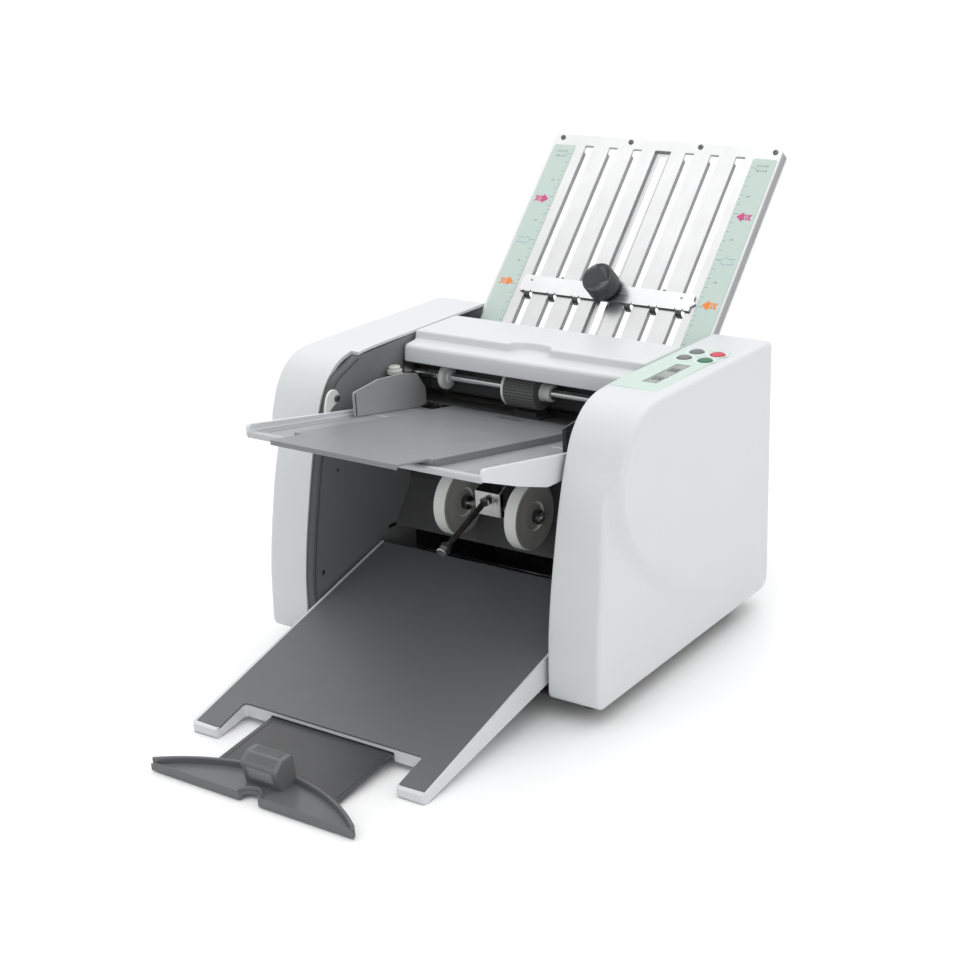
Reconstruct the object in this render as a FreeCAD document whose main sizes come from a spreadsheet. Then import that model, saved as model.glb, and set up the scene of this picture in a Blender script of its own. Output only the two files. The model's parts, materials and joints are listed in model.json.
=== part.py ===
import FreeCAD, Part
import os
import math
from FreeCAD import Vector as V, Rotation, Placement

# Desk paper folding machine.  +Z up, +X to the machine's right, +Y to the back.
# The origin is the middle of the overall outline, on the plane the machine stands on.
# Section coordinates (y, z) are measured from the side covers' lower front edge
# and moved to the origin by the cells origin_back and foot_height.

doc = FreeCAD.newDocument("PaperFolder")
sheet = doc.addObject("Spreadsheet::Sheet", "Dimensions")
cells = {}


def dim(name, value):
    """One driving dimension: a plain number in a cell with an alias."""
    if name in cells:
        return cells[name]
    row = len(cells) + 1
    sheet.set("A%d" % row, name)
    sheet.set("B%d" % row, "%.5g" % value if abs(value) < 1e4 else str(value))
    sheet.setAlias("B%d" % row, name)
    cells[name] = float("%.5g" % value)
    return cells[name]


# ---- main dimensions, millimetres and degrees ----
origin_back = dim("origin_back", -96.0)
foot_height = dim("foot_height", 16.5)
clear_width = dim("clear_width", 243.8)      # between the two side covers
cover_thick = dim("cover_thick", 48.0)
cover_wall = dim("cover_wall", 3.0)
cover_depth = dim("cover_depth", 281.0)
cover_full = dim("cover_full", 57.8)          # with the raised field at its top
field_slope = dim("field_slope", 1.947)       # lean of the raised field, degrees
screw_radius = dim("screw_radius", 6.6)
frame_gauge = dim("frame_gauge", 2.5)
roller_radius = dim("roller_radius", 13.0)
roller_shaft = dim("roller_shaft", 5.0)
roller_length = dim("roller_length", 228.0)
roller_pitch = dim("roller_pitch", 26.3)      # centre distance of neighbouring rollers
gear_teeth = dim("gear_teeth", 26)
feed_teeth = dim("feed_teeth", 58)
stack_teeth = dim("stack_teeth", 52)
gear_width = dim("gear_width", 7.0)
plate_angle = dim("plate_angle", 45.15)
plate_top_y = dim("plate_top_y", 410.0)
plate_top_z = dim("plate_top_z", 364.0)
plate_length = dim("plate_length", 245.0)
plate_width = dim("plate_width", 242.12)
plate_thick = dim("plate_thick", 12.0)
low_angle = dim("low_angle", 40.0)
low_length = dim("low_length", 128.0)
low_width = dim("low_width", 230.0)
low_thick = dim("low_thick", 8.0)
table_slope = dim("table_slope", 11.3)
wheel_radius = dim("wheel_radius", 29.5)
wheel_width = dim("wheel_width", 12.7)
feed_radius = dim("feed_radius", 16.5)
tray_half = dim("tray_half", 118.2)
button_radius = dim("button_radius", 6.3)
button_travel = dim("button_travel", 1.0)

half = clear_width / 2.0
module = roller_pitch / gear_teeth
ZX = Rotation(V(0, 1, 0), 90)                # turns the Z axis onto X


def at(x, y, z):
    return V(x, y + origin_back, z + foot_height)


nodes = {}


def node(label, obj):
    obj.Label = label
    nodes[label] = obj
    return obj


def box(name, x0, x1, y0, y1, z0, z1):
    o = doc.addObject("Part::Box", name)
    for prop, key, v in (("Length", "_dx", x1 - x0), ("Width", "_dy", y1 - y0), ("Height", "_dz", z1 - z0)):
        dim(name + key, v)
        o.setExpression(prop, "Dimensions." + name + key)
    o.Placement = Placement(at(x0, y0, z0), Rotation())
    return o


def cyl(name, p, r, length, rot=None):
    """Cylinder starting at section point p; its axis is +X unless rot is given."""
    o = doc.addObject("Part::Cylinder", name)
    dim(name + "_rad", r)
    dim(name + "_len", length)
    o.setExpression("Radius", "Dimensions." + name + "_rad")
    o.setExpression("Height", "Dimensions." + name + "_len")
    o.Placement = Placement(at(*p), ZX if rot is None else rot)
    return o


def fuse(name, parts):
    o = doc.addObject("Part::MultiFuse", name)
    o.Shapes = parts
    return o


def cut(name, base, tools):
    o = doc.addObject("Part::Cut", name)
    o.Base = base
    o.Tool = tools[0] if len(tools) == 1 else fuse(name + "_tools", tools)
    return o


def compound(name, parts):
    o = doc.addObject("Part::Compound", name)
    o.Links = parts
    return o


def origin_plane(body, role):
    return [f for f in body.Origin.OriginFeatures if f.Role == role][0]


def outline(sk, pts):
    """Closed outline: (y, z) corners; a tuple (mid, end) is an arc, a list is a smooth curve."""
    cur = pts[0]
    for nxt in list(pts[1:]) + [pts[0]]:
        if isinstance(nxt, list):
            c = Part.BSplineCurve()
            c.interpolate([V(p[0], p[1], 0) for p in [cur] + nxt])
            sk.addGeometry(c, False)
            cur = nxt[-1]
        elif isinstance(nxt[0], tuple):
            mid, end = nxt
            sk.addGeometry(Part.Arc(V(cur[0], cur[1], 0), V(mid[0], mid[1], 0), V(end[0], end[1], 0)), False)
            cur = end
        else:
            if abs(nxt[0] - cur[0]) + abs(nxt[1] - cur[1]) > 1e-6:
                sk.addGeometry(Part.LineSegment(V(cur[0], cur[1], 0), V(nxt[0], nxt[1], 0)), False)
            cur = nxt


def prism(name, pts, x0, x1, loc=None, plane="YZ_Plane"):
    """Padded body: an outline in the (y, z) section carried from x0 to x1."""
    b = doc.addObject("PartDesign::Body", name)
    sk = b.newObject("Sketcher::SketchObject", name + "_sk")
    sk.AttachmentSupport = [(origin_plane(b, plane), "")]
    sk.MapMode = "FlatFace"
    outline(sk, pts)
    pad = b.newObject("PartDesign::Pad", name + "_pad")
    pad.Profile = sk
    dim(name + "_wide", x1 - x0)
    pad.setExpression("Length", "Dimensions." + name + "_wide")
    b.Placement = loc if loc is not None else Placement(at(x0, 0, 0), Rotation())
    return b


def pocket(b, name, pts, depth, start, plane="YZ_Plane"):
    """Pocket from the section plane at local x = start toward +x, through depth."""
    sk = b.newObject("Sketcher::SketchObject", name + "_sk")
    sk.AttachmentSupport = [(origin_plane(b, plane), "")]
    sk.MapMode = "FlatFace"
    sk.AttachmentOffset = Placement(V(0, 0, start), Rotation())
    outline(sk, pts)
    p = b.newObject("PartDesign::Pocket", name)
    p.Profile = sk
    dim(name + "_deep", depth)
    p.setExpression("Length", "Dimensions." + name + "_deep")
    p.Reversed = True
    return p


def circle_pts(c, r, n=0):
    """A full circle as two arcs."""
    y, z = c
    return [(y - r, z), ((y, z + r), (y + r, z)), ((y, z - r), (y - r, z))]


def gear(name, centre, x0, teeth, phase, width):
    """Spur gear with slim straight-sided teeth; phase is the angle of one tooth, in degrees."""
    pr = module * teeth / 2.0
    add, ded = 0.75 * module, 1.05 * module
    step = 2 * math.pi / teeth
    pts = []
    for i in range(int(teeth)):
        a = math.radians(phase) + i * step
        for r, k in ((pr - ded, -0.25), (pr + add, -0.105), (pr + add, 0.105), (pr - ded, 0.25)):
            pts.append(V(0, r * math.cos(a + k * step), r * math.sin(a + k * step)))
    face = Part.Face(Part.makePolygon(pts + [pts[0]]))
    o = doc.addObject("Part::Feature", name)
    o.Shape = face.extrude(V(width, 0, 0))
    o.Placement = Placement(at(x0, centre[0], centre[1]), Rotation())
    return o


# ---- axes of the shafts, as (y, z) ----
B = (201.5, 151.7)
A = (B[0] + roller_pitch * math.sin(math.radians(11)), B[1] + roller_pitch * math.cos(math.radians(11)))
C = (B[0] + roller_pitch * math.cos(math.radians(5)), B[1] + roller_pitch * math.sin(math.radians(5)))
D = (B[0] + roller_pitch * math.cos(math.radians(80)), B[1] - roller_pitch * math.sin(math.radians(80)))
feed_dist = module * (gear_teeth + feed_teeth) / 2.0
fa = math.atan2(193.5 - A[1], 167.5 - A[0])
F = (A[0] + feed_dist * math.cos(fa), A[1] + feed_dist * math.sin(fa))
stack_dist = module * (gear_teeth + stack_teeth) / 2.0
pa = math.atan2(138.0 - D[1], 168.6 - D[0])
P = (D[0] + stack_dist * math.cos(pa), D[1] + stack_dist * math.sin(pa))
W = (107.0, 105.0)
M = (240.0, 34.0)
HINGE = (222.5, 222.0)
TABLE_PIVOT = (54.0, 182.0)
TRAY_PIVOT = (86.0, 42.0)
LEVER_PIVOT = (52.5, 203.0)
ROCKER = (267.9, 24.0)

# ---- side covers ----
front_curve = [(3.9, 49.0), (7.6, 74.0), (11.8, 95.0), (16.8, 116.0), (24.7, 147.0), (33.5, 175.0),
               (40.5, 193.0), (48.0, 208.0), (58.8, 220.2), (71.0, 228.4), (85.5, 232.8), (102.0, 234.0)]
cover_profile = [(7.0, 0.0), ((2.9, 1.7), (1.2, 6.0)), (1.4, 14.5), front_curve, (160.0, 232.8), (cover_depth - 4.0, 229.25),
                 ((cover_depth - 1.1, 227.9), (cover_depth, 225.2)), (cover_depth, 5.0), ((cover_depth - 1.4, 1.4), (cover_depth - 5.0, 0.0))]
cavity_profile = [(8.5, cover_wall), (6.0, 10.0), [(8.0, 49.0), (11.6, 74.0), (20.6, 115.0), (28.6, 146.0), (37.2, 173.5),
                  (51.5, 205.5), (61.5, 217.0), (73.0, 224.6), (86.5, 229.0), (102.5, 230.2)], (160.0, 229.4), (cover_depth - 5.5, 226.0),
                  (cover_depth - cover_wall, 223.8), (cover_depth - cover_wall, cover_wall)]
# flat wedge of the outer wall, below and in front of the raised field
wedge = [(-10.0, -10.0), (300.0, -10.0), (300.0, 22.0), [(250.0, 26.0), (220.0, 29.0), (190.0, 35.0), (165.0, 43.0), (145.0, 53.0), (120.0, 68.0),
         (99.6, 83.0), (76.0, 101.0), (57.5, 118.5), (45.0, 135.2), (36.6, 152.0), (33.6, 173.5)], (31.5, 186.0), (-10.0, 186.0)]
# hollow behind the raised field
field_hollow = [(58.0, 200.0), (75.0, 214.0), (95.0, 222.0), (270.0, 218.0), (270.0, 42.0), (190.0, 50.0), (150.0, 66.0), (105.0, 96.0), (70.0, 125.0),
                (53.0, 158.0), (50.0, 185.0)]


def side_cover(name, sign):
    x0 = half if sign > 0 else -half - cover_full
    b = prism(name, cover_profile, x0, x0 + cover_full)
    doc.recompute()
    solid = b.Shape
    outer = cover_full if sign > 0 else 0.0
    # outer edges of the side wall, all but the one along the bottom
    edges = []
    for i, e in enumerate(solid.Edges):
        c = e.BoundBox
        lx = c.XMin - b.Placement.Base.x
        if abs(c.XMax - c.XMin) < 1e-6 and abs(lx - outer) < 1e-6 and c.ZMax - foot_height > 6.5:
            edges.append("Edge%d" % (i + 1))
    f = b.newObject("PartDesign::Fillet", name + "_round")
    f.Base = (b.Tip, edges)
    dim("cover_round", 5.0)
    f.setExpression("Radius", "Dimensions.cover_round")
    doc.recompute()
    if f.State and "Invalid" in f.State or not f.Shape.isValid():
        b.removeObject(f)
        doc.removeObject(f.Name)
    start = 0.0 if sign > 0 else cover_full - cover_thick + cover_wall
    pocket(b, name + "_hollow", cavity_profile, cover_thick - cover_wall, start)
    doc.recompute()
    # the raised field leans out from its foot to the top edge
    slab = doc.addObject("Part::Box", name + "_lean")
    for prop, key, v in (("Length", "_dx", 30.0), ("Width", "_dy", 340.0), ("Height", "_dz", 320.0)):
        dim(name + "_lean" + key, v)
        slab.setExpression(prop, "Dimensions." + name + "_lean" + key)
    turn = Rotation(V(0, 1, 0), sign * field_slope)
    foot = V(sign * (half + 49.7 - 40.0 * math.tan(math.radians(field_slope))), -20.0, -40.0)
    if sign < 0:
        foot -= turn.multVec(V(30.0, 0, 0))
    slab.Placement = Placement(at(foot.x, foot.y, foot.z), turn)
    xo = half + cover_thick
    w = prism(name + "_wedge", wedge, xo if sign > 0 else -xo - 20.0, xo + 20.0 if sign > 0 else -xo)
    xi = xo - cover_wall - 0.5
    h = prism(name + "_field_hollow", field_hollow, xi if sign > 0 else -xi - 4.2, xi + 4.2 if sign > 0 else -xi)
    return cut(name + "_shell", b, [slab, w, h])


def button_spot(i):
    return [(139.6, 216.9), (138.8, 197.0), (159.2, 216.9), (158.6, 196.8)][i]


def top_z(y):
    """Height of the covers' top face at depth y."""
    return 232.8 + (y - 160.0) * (229.4 - 232.8) / 112.0 if y > 160 else 232.8 + (160.0 - y) * 1.2 / 58.0


cover_r = side_cover("side_cover_right_raw", 1)
holes = []
for i in range(4):
    bx, by = button_spot(i)
    holes.append(cyl("button_hole_%d" % i, (bx, by, 220.0), button_radius + 0.35, 20.0, Rotation()))
disp_hole = box("display_hole", 142.6, 156.4, 122.6, 178.4, 220.0, 240.0)
foot_slot_r = box("bottom_slot_r", half - 0.5, half + 3.4, 6.0, 268.0, -1.0, 3.3)
node("side_cover_right", cut("side_cover_right_cut", cover_r, holes + [disp_hole, foot_slot_r]))
cover_l = side_cover("side_cover_left_raw", -1)
lip_cut = prism("left_lip_cut", [(-5.0, -5.0), (90.0, -5.0), (90.0, 240.0), (-5.0, 240.0)], -half - 0.0 - 8.2, -half + 1.0)
foot_slot_l = box("bottom_slot_l", -half - 3.4, -half + 0.5, 6.0, 268.0, -1.0, 3.3)
node("side_cover_left", cut("side_cover_left_cut", cover_l, [lip_cut, foot_slot_l]))

# ---- base plate, feet, inner panels and side frames ----
base = box("base_slab", -163.0, 163.0, 12.0, 268.0, -3.0, 0.0)
node("base_plate", base)
feet = [cyl("foot_%d" % i, (x, y, -foot_height), 10.0, foot_height - 3.0, Rotation())
        for i, (x, y) in enumerate(((-140, 38), (140, 38), (-140, 244), (140, 244)))]
node("rubber_feet", compound("feet_set", feet))

edge_in = [(y + 0.9, z - 0.6) for (y, z) in front_curve]


def panel_outline(sign, y_end):
    """The left panel reaches the front edge; the right one lies inside its cover."""
    if sign < 0:
        return [(6.4, 0.0), (3.5, 14.5), edge_in[:-2] + [(89.4, 231.0)], (89.4, 228.6), (y_end, 228.6), (y_end, 0.0)]
    return [(8.9, 0.0), (6.4, 12.0), [(8.4, 49.0), (12.0, 74.0), (21.0, 115.0), (29.0, 146.0), (37.6, 173.2), (51.8, 205.0), (61.8, 216.5),
            (73.2, 224.1), (86.7, 228.4)], (90.0, 228.6), (y_end, 228.6), (y_end, 0.0)]


for side, sign in (("left", -1), ("right", 1)):
    lo, hi = (half + 0.1, half + 3.1) if sign > 0 else (-half - 3.1, -half - 0.1)
    pan = prism("panel_%s_body" % side, panel_outline(sign, 149.6), lo, hi)
    tools = [cyl("panel_%s_pivot" % side, (lo - 1, TABLE_PIVOT[0], TABLE_PIVOT[1]), 3.08, 5.0),
             cyl("panel_%s_tray" % side, (lo - 1, TRAY_PIVOT[0], TRAY_PIVOT[1]), 3.08, 5.0),
             cyl("panel_%s_small" % side, (lo - 1, 50.0, 138.0), 1.7, 5.0),
             cyl("panel_%s_large" % side, (lo - 1, 20.0, 53.0), 2.7, 5.0)]
    if sign < 0:
        tools.append(cyl("panel_left_lever", (lo - 1, LEVER_PIVOT[0], LEVER_PIVOT[1]), 2.58, 5.0))
        lip = prism("panel_left_lip", [(6.2, 2.0), (3.0, 14.5), edge_in[:-2] + [(89.0, 231.6)], (89.0, 227.0),
                    [(73.5, 223.0), (62.0, 215.5), (52.0, 204.0), (37.8, 172.0), (29.2, 145.0), (21.2, 114.0),
                     (12.4, 73.0), (8.8, 48.0), (8.2, 14.5)], (8.2, 2.0)], -half - 8.0, -half - 3.1)
    done = cut("panel_%s_cut" % side, pan, tools)
    node("inner_panel_" + side, compound("panel_left_set", [done, lip]) if sign < 0 else done)

    flo = lo if sign > 0 else -half - 0.1 - frame_gauge
    fr = prism("frame_%s_body" % side, [(150.2, 0.0), (150.2, 208.0), (160.0, 218.0), (232.0, 218.0), (266.0, 205.0), (266.0, 0.0)], flo,
               flo + frame_gauge)
    tools = []
    for k, (c, r) in enumerate(((A, 8.55), (B, 8.55), (C, 8.55), (D, 8.55), (F, 7.05), (P, 7.05))):
        tools.append(cyl("frame_%s_hole_%d" % (side, k), (lo - 1, c[0], c[1]), r, 5.0))
    if sign < 0:
        tools.append(cyl("frame_left_motor_hole", (lo - 1, M[0], M[1]), 8.0, 5.0))
    node("side_frame_" + side, cut("frame_%s_cut" % side, fr, tools))

bush = []
for side, lo in (("l", -half - 2.6), ("r", half + 0.1)):
    for k, (c, r, s) in enumerate(((A, 8.5, roller_shaft), (B, 8.5, roller_shaft), (C, 8.5, roller_shaft), (D, 8.5, roller_shaft),
                                   (F, 7.0, 4.0), (P, 7.0, 4.0))):
        ring = cyl("bush_%s%d_out" % (side, k), (lo, c[0], c[1]), r, 2.5)
        bore = cyl("bush_%s%d_bore" % (side, k), (lo - 1, c[0], c[1]), s + 0.06, 5.0)
        bush.append(cut("bush_%s%d" % (side, k), ring, [bore]))
node("bearings", compound("bearing_set", bush))

rods = [cyl("rod_%d" % i, (-half - 0.1, y, z), 4.0, clear_width + 0.2) for i, (y, z) in
        enumerate(((160.0, 20.0), (260.0, 6.0), (250.0, 150.0), (196.0, 206.0)))]
node("tie_rods", compound("rod_set", rods))

rp = box("rear_body", -half + 0.1, half - 0.1, 266.4, 269.4, 0.0, 184.0)
rp_cut = [box("rear_window", -117.5, 117.5, 260.0, 275.0, 78.0, 118.0),
          box("inlet_window", 66.6, 94.4, 260.0, 275.0, 13.6, 34.4),
          box("switch_window", 98.9, 112.1, 260.0, 275.0, 13.0, 35.0)]
rp_cut.append(cyl("switch_pin_hole", (98.2, ROCKER[0], ROCKER[1]), 0.96, 14.6))
rp_cut += [box("vent_%d" % i, -90.0 + 14 * i, -82.0 + 14 * i, 260.0, 275.0, 14.0, 60.0) for i in range(8)]
node("rear_panel", cut("rear_cut", rp, rp_cut))

inl = box("inlet_body", 67.0, 94.0, 252.0, 270.6, 14.0, 34.0)
inl_c = box("inlet_cup", 69.4, 91.6, 256.0, 272.0, 16.4, 31.6)
pins = [box("inlet_pin_%d" % i, x - 1, x + 1, 255.5, 268.0, z - 2, z + 2) for i, (x, z) in enumerate(((74.5, 23), (80.5, 26.5), (86.5, 23)))]
node("power_inlet", fuse("inlet_all", [cut("inlet_cut", inl, [inl_c])] + pins))
sw = prism("switch_rocker", [(264.0, 15.8), (270.4, 14.9), (271.4, 24.0), (272.2, 33.0), (264.0, 32.2), (258.0, 24.0)], 99.4, 111.6)
node("power_switch", fuse("switch_all", [sw, cyl("switch_pin", (98.35, ROCKER[0], ROCKER[1]), 0.9, 14.3)]))

# ---- lid ----
lid_out = [(147.7, 208.9), (148.2, 220.0), ((149.5, 223.2), (152.8, 224.6)), (163.6, 225.6), (165.0, 231.6), ((165.6, 232.8), (167.0, 233.2)),
           (224.5, 231.4), ((226.9, 230.4), (228.0, 228.0)), (228.0, 218.5), (217.0, 218.5), (217.0, 223.0), (214.0, 229.2 - 0.6),
           (168.2, 230.2), (167.6, 222.8), (152.6, 221.6), (151.2, 220.4), (150.6, 208.9)]
lid = prism("lid_body", lid_out, -119.4, 119.4)
end_wall = [(147.9, 210.0), (148.6, 219.6), (152.8, 224.0), (164.0, 225.2), (166.0, 231.0), (167.4, 232.4), (224.0, 230.8), (227.5, 228.0),
            (227.5, 219.0), (212.0, 215.5), (170.0, 212.0)]
lid_l = prism("lid_wall_l", end_wall, -119.4, -116.8)
lid_r = prism("lid_wall_r", end_wall, 116.8, 119.4)
scoop = prism("lid_scoop", [(-16.0, 160.0), (-16.0, 164.5), [(-11.0, 166.5), (-7.0, 171.5), (-1.0, 175.0), (4.0, 175.6), (9.0, 175.0),
              (15.0, 171.5), (19.0, 166.5)], (24.0, 164.5), (24.0, 160.0)], 0.0, 12.0, Placement(at(0, 0, 225.7), Rotation()), "XY_Plane")
floor_fill = box("lid_scoop_floor", -18.0, 26.0, 163.0, 178.6, 222.4, 225.7)
back_fill = prism("lid_scoop_back", [(-18.0, 164.6), (-18.0, 168.6), (-10.0, 171.0), (-3.0, 178.4), (11.0, 178.4), (18.0, 171.0), (26.0, 168.6),
                  (26.0, 164.6)], 0.0, 7.2, Placement(at(0, 0, 223.0), Rotation()), "XY_Plane")
pin_l = cyl("lid_pin_l", (-half - 1.2, HINGE[0], HINGE[1]), 2.5, 5.0)
pin_r = cyl("lid_pin_r", (half - 3.8, HINGE[0], HINGE[1]), 2.5, 5.0)
lid_all = cut("lid_cut", fuse("lid_whole", [lid, lid_l, lid_r, floor_fill, back_fill]), [scoop])
node("top_cover", fuse("lid_with_pins", [lid_all, pin_l, pin_r]))
ears = []
for side, lo in (("left", -half - 2.6), ("right", half + 0.1)):
    ear = cyl("ear_%s" % side, (lo, HINGE[0], HINGE[1]), 5.5, 2.5)
    ears.append((side, ear, cyl("ear_%s_bore" % side, (lo - 1, HINGE[0], HINGE[1]), 2.56, 5.0)))
# the hinge ears are part of the side frames
for side, ear, bore in ears:
    old = nodes["side_frame_" + side]
    old.Label = "frame_%s_plate" % side
    node("side_frame_" + side, cut("frame_%s_done" % side, fuse("frame_%s_eared" % side, [old, ear]), [bore]))

# ---- feed table ----
TS = math.tan(math.radians(table_slope))


def strip_z(y):
    return 205.1 - 0.2 * (y + 38.4)


def plate_z(y):
    return 224.2 - 0.198 * (y + 104.2)


wall_pts = [(-63.0, strip_z(-63) - 3.4), (-61.6, 212.6), (-58.5, 215.6), (60.0, 190.6), (150.0, 171.2), (150.0, 152.0), (40.0, 172.9),
            (20.6, 174.0), (-16.7, 187.3)]
wl = prism("table_wall_l", wall_pts, -118.0, -114.5)
wr = prism("table_wall_r", wall_pts, 114.5, 118.0)
floor = prism("table_floor", [(-63.0, strip_z(-63) - 3.4), (-63.0, strip_z(-63)), (150.0, strip_z(150)), (150.0, strip_z(150) - 3.0)], -115.0, 115.0)
tp_l = cyl("table_pin_l", (-half - 2.6, TABLE_PIVOT[0], TABLE_PIVOT[1]), 3.0, 7.0)
tp_r = cyl("table_pin_r", (half - 4.4, TABLE_PIVOT[0], TABLE_PIVOT[1]), 3.0, 7.0)
node("feed_table", fuse("table_all", [wl, wr, floor, tp_l, tp_r]))
deck = prism("deck_main", [(-59.0, strip_z(-59) + 0.02), (-59.0, plate_z(-59)), (150.0, plate_z(150)), (150.0, strip_z(150) + 0.02)], -70.0, 70.0)
front = prism("deck_front", [(-97.0, plate_z(-97) - 2.6), (-97.0, plate_z(-97)), (-58.0, plate_z(-58)), (-58.0, plate_z(-58) - 2.6)], -61.0, 65.0)
node("table_plate", fuse("deck_all", [deck, front]))

SCREW_X = dim("screw_across", 114.3)
SCREW_Y = dim("screw_back", 127.4)
guide_pts = [(60.0, strip_z(60) + 0.35), (60.6, 207.6), (94.4, 209.7), (125.9, 205.6), (148.0, 199.8), (159.4, 182.6),
             (159.0, strip_z(150) + 0.4), (150.0, strip_z(150) + 0.35)]
for side, s in (("left", -1), ("right", 1)):
    x_in, x_out = (-107.6, -106.0) if s < 0 else (106.0, 107.6)
    wallg = prism("guide_%s_wall" % side, guide_pts, x_in, x_out)
    fx = (-113.6, -107.0) if s < 0 else (107.0, 113.6)
    foot = prism("guide_%s_foot" % side, [(64.0, strip_z(64) + 0.35), (64.0, strip_z(64) + 2.2), (148.0, strip_z(148) + 2.2),
                 (148.0, strip_z(148) + 0.35)], fx[0], fx[1])
    sx = (-119.0, -107.0) if s < 0 else (107.0, 119.0)
    shelf = box("guide_%s_shelf" % side, sx[0], sx[1], 119.0, 137.0, 200.6, 202.6)
    post = box("guide_%s_post" % side, fx[0], fx[1], 135.0, 137.0, 171.4, 201.0)
    bore = cyl("guide_%s_bore" % side, (s * SCREW_X, SCREW_Y, 190.0), 2.06, 20.0, Rotation())
    node("side_guide_" + side, cut("guide_%s_cut" % side, fuse("guide_%s_all" % side, [wallg, foot, shelf, post]), [bore]))
    stem = cyl("screw_%s_stem" % side, (s * SCREW_X, SCREW_Y, 186.0), 2.0, 20.0, Rotation())
    collar = cyl("screw_%s_collar" % side, (s * SCREW_X, SCREW_Y, 203.2), 3.4, 1.4, Rotation())
    head = cyl("screw_%s_head" % side, (s * SCREW_X, SCREW_Y, 204.4), screw_radius, 3.8, Rotation())
    cap = cyl("screw_%s_cap" % side, (s * SCREW_X, SCREW_Y, 208.2), screw_radius - 1.3, 3.0, Rotation())
    node("guide_screw_" + side, fuse("screw_%s_all" % side, [stem, collar, head, cap]))

lev = prism("lever_body", [(40.2, 207.0), ((48.6, 212.6), (57.2, 207.0)), ((58.6, 202.6), (56.0, 198.8)), (47.0, 197.2), (40.6, 190.0),
            ((38.0, 187.6), (35.6, 190.2)), (37.2, 198.0)], -half + 0.45, -half + 3.05)
lpin = cyl("lever_pin", (-half - 2.8, LEVER_PIVOT[0], LEVER_PIVOT[1]), 2.5, 7.4)
node("release_lever", fuse("lever_all", [lev, lpin]))

# ---- feed shaft ----
x_gear_l = -half - 2.6 - 1.2 - gear_width
fs = cyl("feed_rod", (x_gear_l, F[0], F[1]), 4.0, half + 5.0 - x_gear_l)
phase_a = 0.0


def mesh_phase(c1, ph1, t1, c2, t2):
    """Tooth phase of gear 2 so that its gap meets gear 1's tooth on the line of centres."""
    d12 = math.degrees(math.atan2(c2[1] - c1[1], c2[0] - c1[0]))
    off = (d12 - ph1) * t1                     # position in tooth steps of 360
    return d12 + 180.0 + (off + 180.0) / t2


ph_b = 0.0
ph_a = mesh_phase(B, ph_b, gear_teeth, A, gear_teeth)
ph_c = mesh_phase(B, ph_b, gear_teeth, C, gear_teeth)
ph_d = mesh_phase(B, ph_b, gear_teeth, D, gear_teeth)
ph_f = mesh_phase(A, ph_a, gear_teeth, F, feed_teeth)
ph_p = mesh_phase(D, ph_d, gear_teeth, P, stack_teeth)
node("feed_shaft", fuse("feed_rod_all", [fs, gear("feed_gear", F, x_gear_l, feed_teeth, ph_f, gear_width)]))
fr_body = cyl("feed_tyre", (-16.0, F[0], F[1]), feed_radius, 32.0)
fr_bore = cyl("feed_tyre_bore", (-17.0, F[0], F[1]), 4.0, 34.0)
node("feed_roller", cut("feed_roller_cut", fr_body, [fr_bore]))
coll = []
for i, (x0, x1, r) in enumerate(((-18.6, -16.0, 12.0), (16.0, 26.5, 7.5), (-90.0, -84.0, 9.8), (84.0, 90.0, 9.8))):
    ring = cyl("collar_%d_out" % i, (x0, F[0], F[1]), r, x1 - x0)
    bore = cyl("collar_%d_bore" % i, (x0 - 1, F[0], F[1]), 4.0, x1 - x0 + 2)
    coll.append(cut("collar_%d" % i, ring, [bore]))
node("feed_collars", compound("collar_set", coll))

hold = prism("holder_body", [(155.0, 150.0), (155.0, 170.6), (160.0, 172.4), (178.0, 170.2), (186.0, 165.6), (186.0, 150.0)], -17.0, 17.0)
hold_bar = box("holder_bar", -half, half, 160.0, 172.0, 150.0, 156.0)
pad_block = prism("pad_body", [(160.4, 171.0), (160.4, 175.2), (162.0, 176.0), (175.0, 174.6), (177.6, 173.0), (177.6, 169.0)], -12.0, 12.0)
node("paper_separator", fuse("holder_all", [hold, hold_bar, pad_block]))

# ---- sheet-metal guides along the paper path ----
low_in = prism("guide_in_low", [(160.0, plate_z(160) - 2.6), (160.0, plate_z(160) - 0.8), (188.0, plate_z(188) - 0.8), (188.0, plate_z(188) - 2.6)],
               -half - 0.1, half + 0.1)
low_in_cut = cut("guide_in_low_cut", low_in, [box("guide_in_gap", -18.0, 18.0, 148.0, 190.0, 140.0, 200.0)])
up_in = prism("guide_in_up", [(189.0, 171.4), (188.2, 173.0), (188.6, 205.0), (190.2, 205.0), (190.0, 173.6), (190.6, 172.0)], -half - 0.1, half + 0.1)
chute = prism("chute_sheet", [(189.5, 125.0), (150.0, 99.0), (121.0, 62.0), (122.2, 61.2), (151.2, 98.0), (190.5, 123.6)], -half - 0.1, half + 0.1)
node("paper_guides", compound("guide_set", [low_in_cut, up_in, chute]))

# ---- fold rollers with their gears ----
for name, c, ph in (("fold_roller_1", A, ph_a), ("fold_roller_2", B, ph_b), ("fold_roller_3", C, ph_c), ("fold_roller_4", D, ph_d)):
    left_end = x_gear_l - (14.0 if c is B else 0.5)
    right_end = half + 2.6 + 1.2 + gear_width if c is D else half + 4.5
    parts = [cyl(name + "_shaft", (left_end, c[0], c[1]), roller_shaft, right_end - left_end),
             cyl(name + "_tube", (-roller_length / 2, c[0], c[1]), roller_radius, roller_length),
             gear(name + "_gear", c, x_gear_l, gear_teeth, ph, gear_width)]
    if c is D:
        parts.append(gear(name + "_gear_right", c, half + 2.6 + 1.2, gear_teeth, ph, gear_width))
    if c is B:
        parts.append(cyl(name + "_pulley", (x_gear_l - 12.0, c[0], c[1]), 22.0, 9.0))
        parts.append(cyl(name + "_flange", (x_gear_l - 13.5, c[0], c[1]), 24.0, 1.5))
    node(name, fuse(name + "_all", parts))

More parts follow.
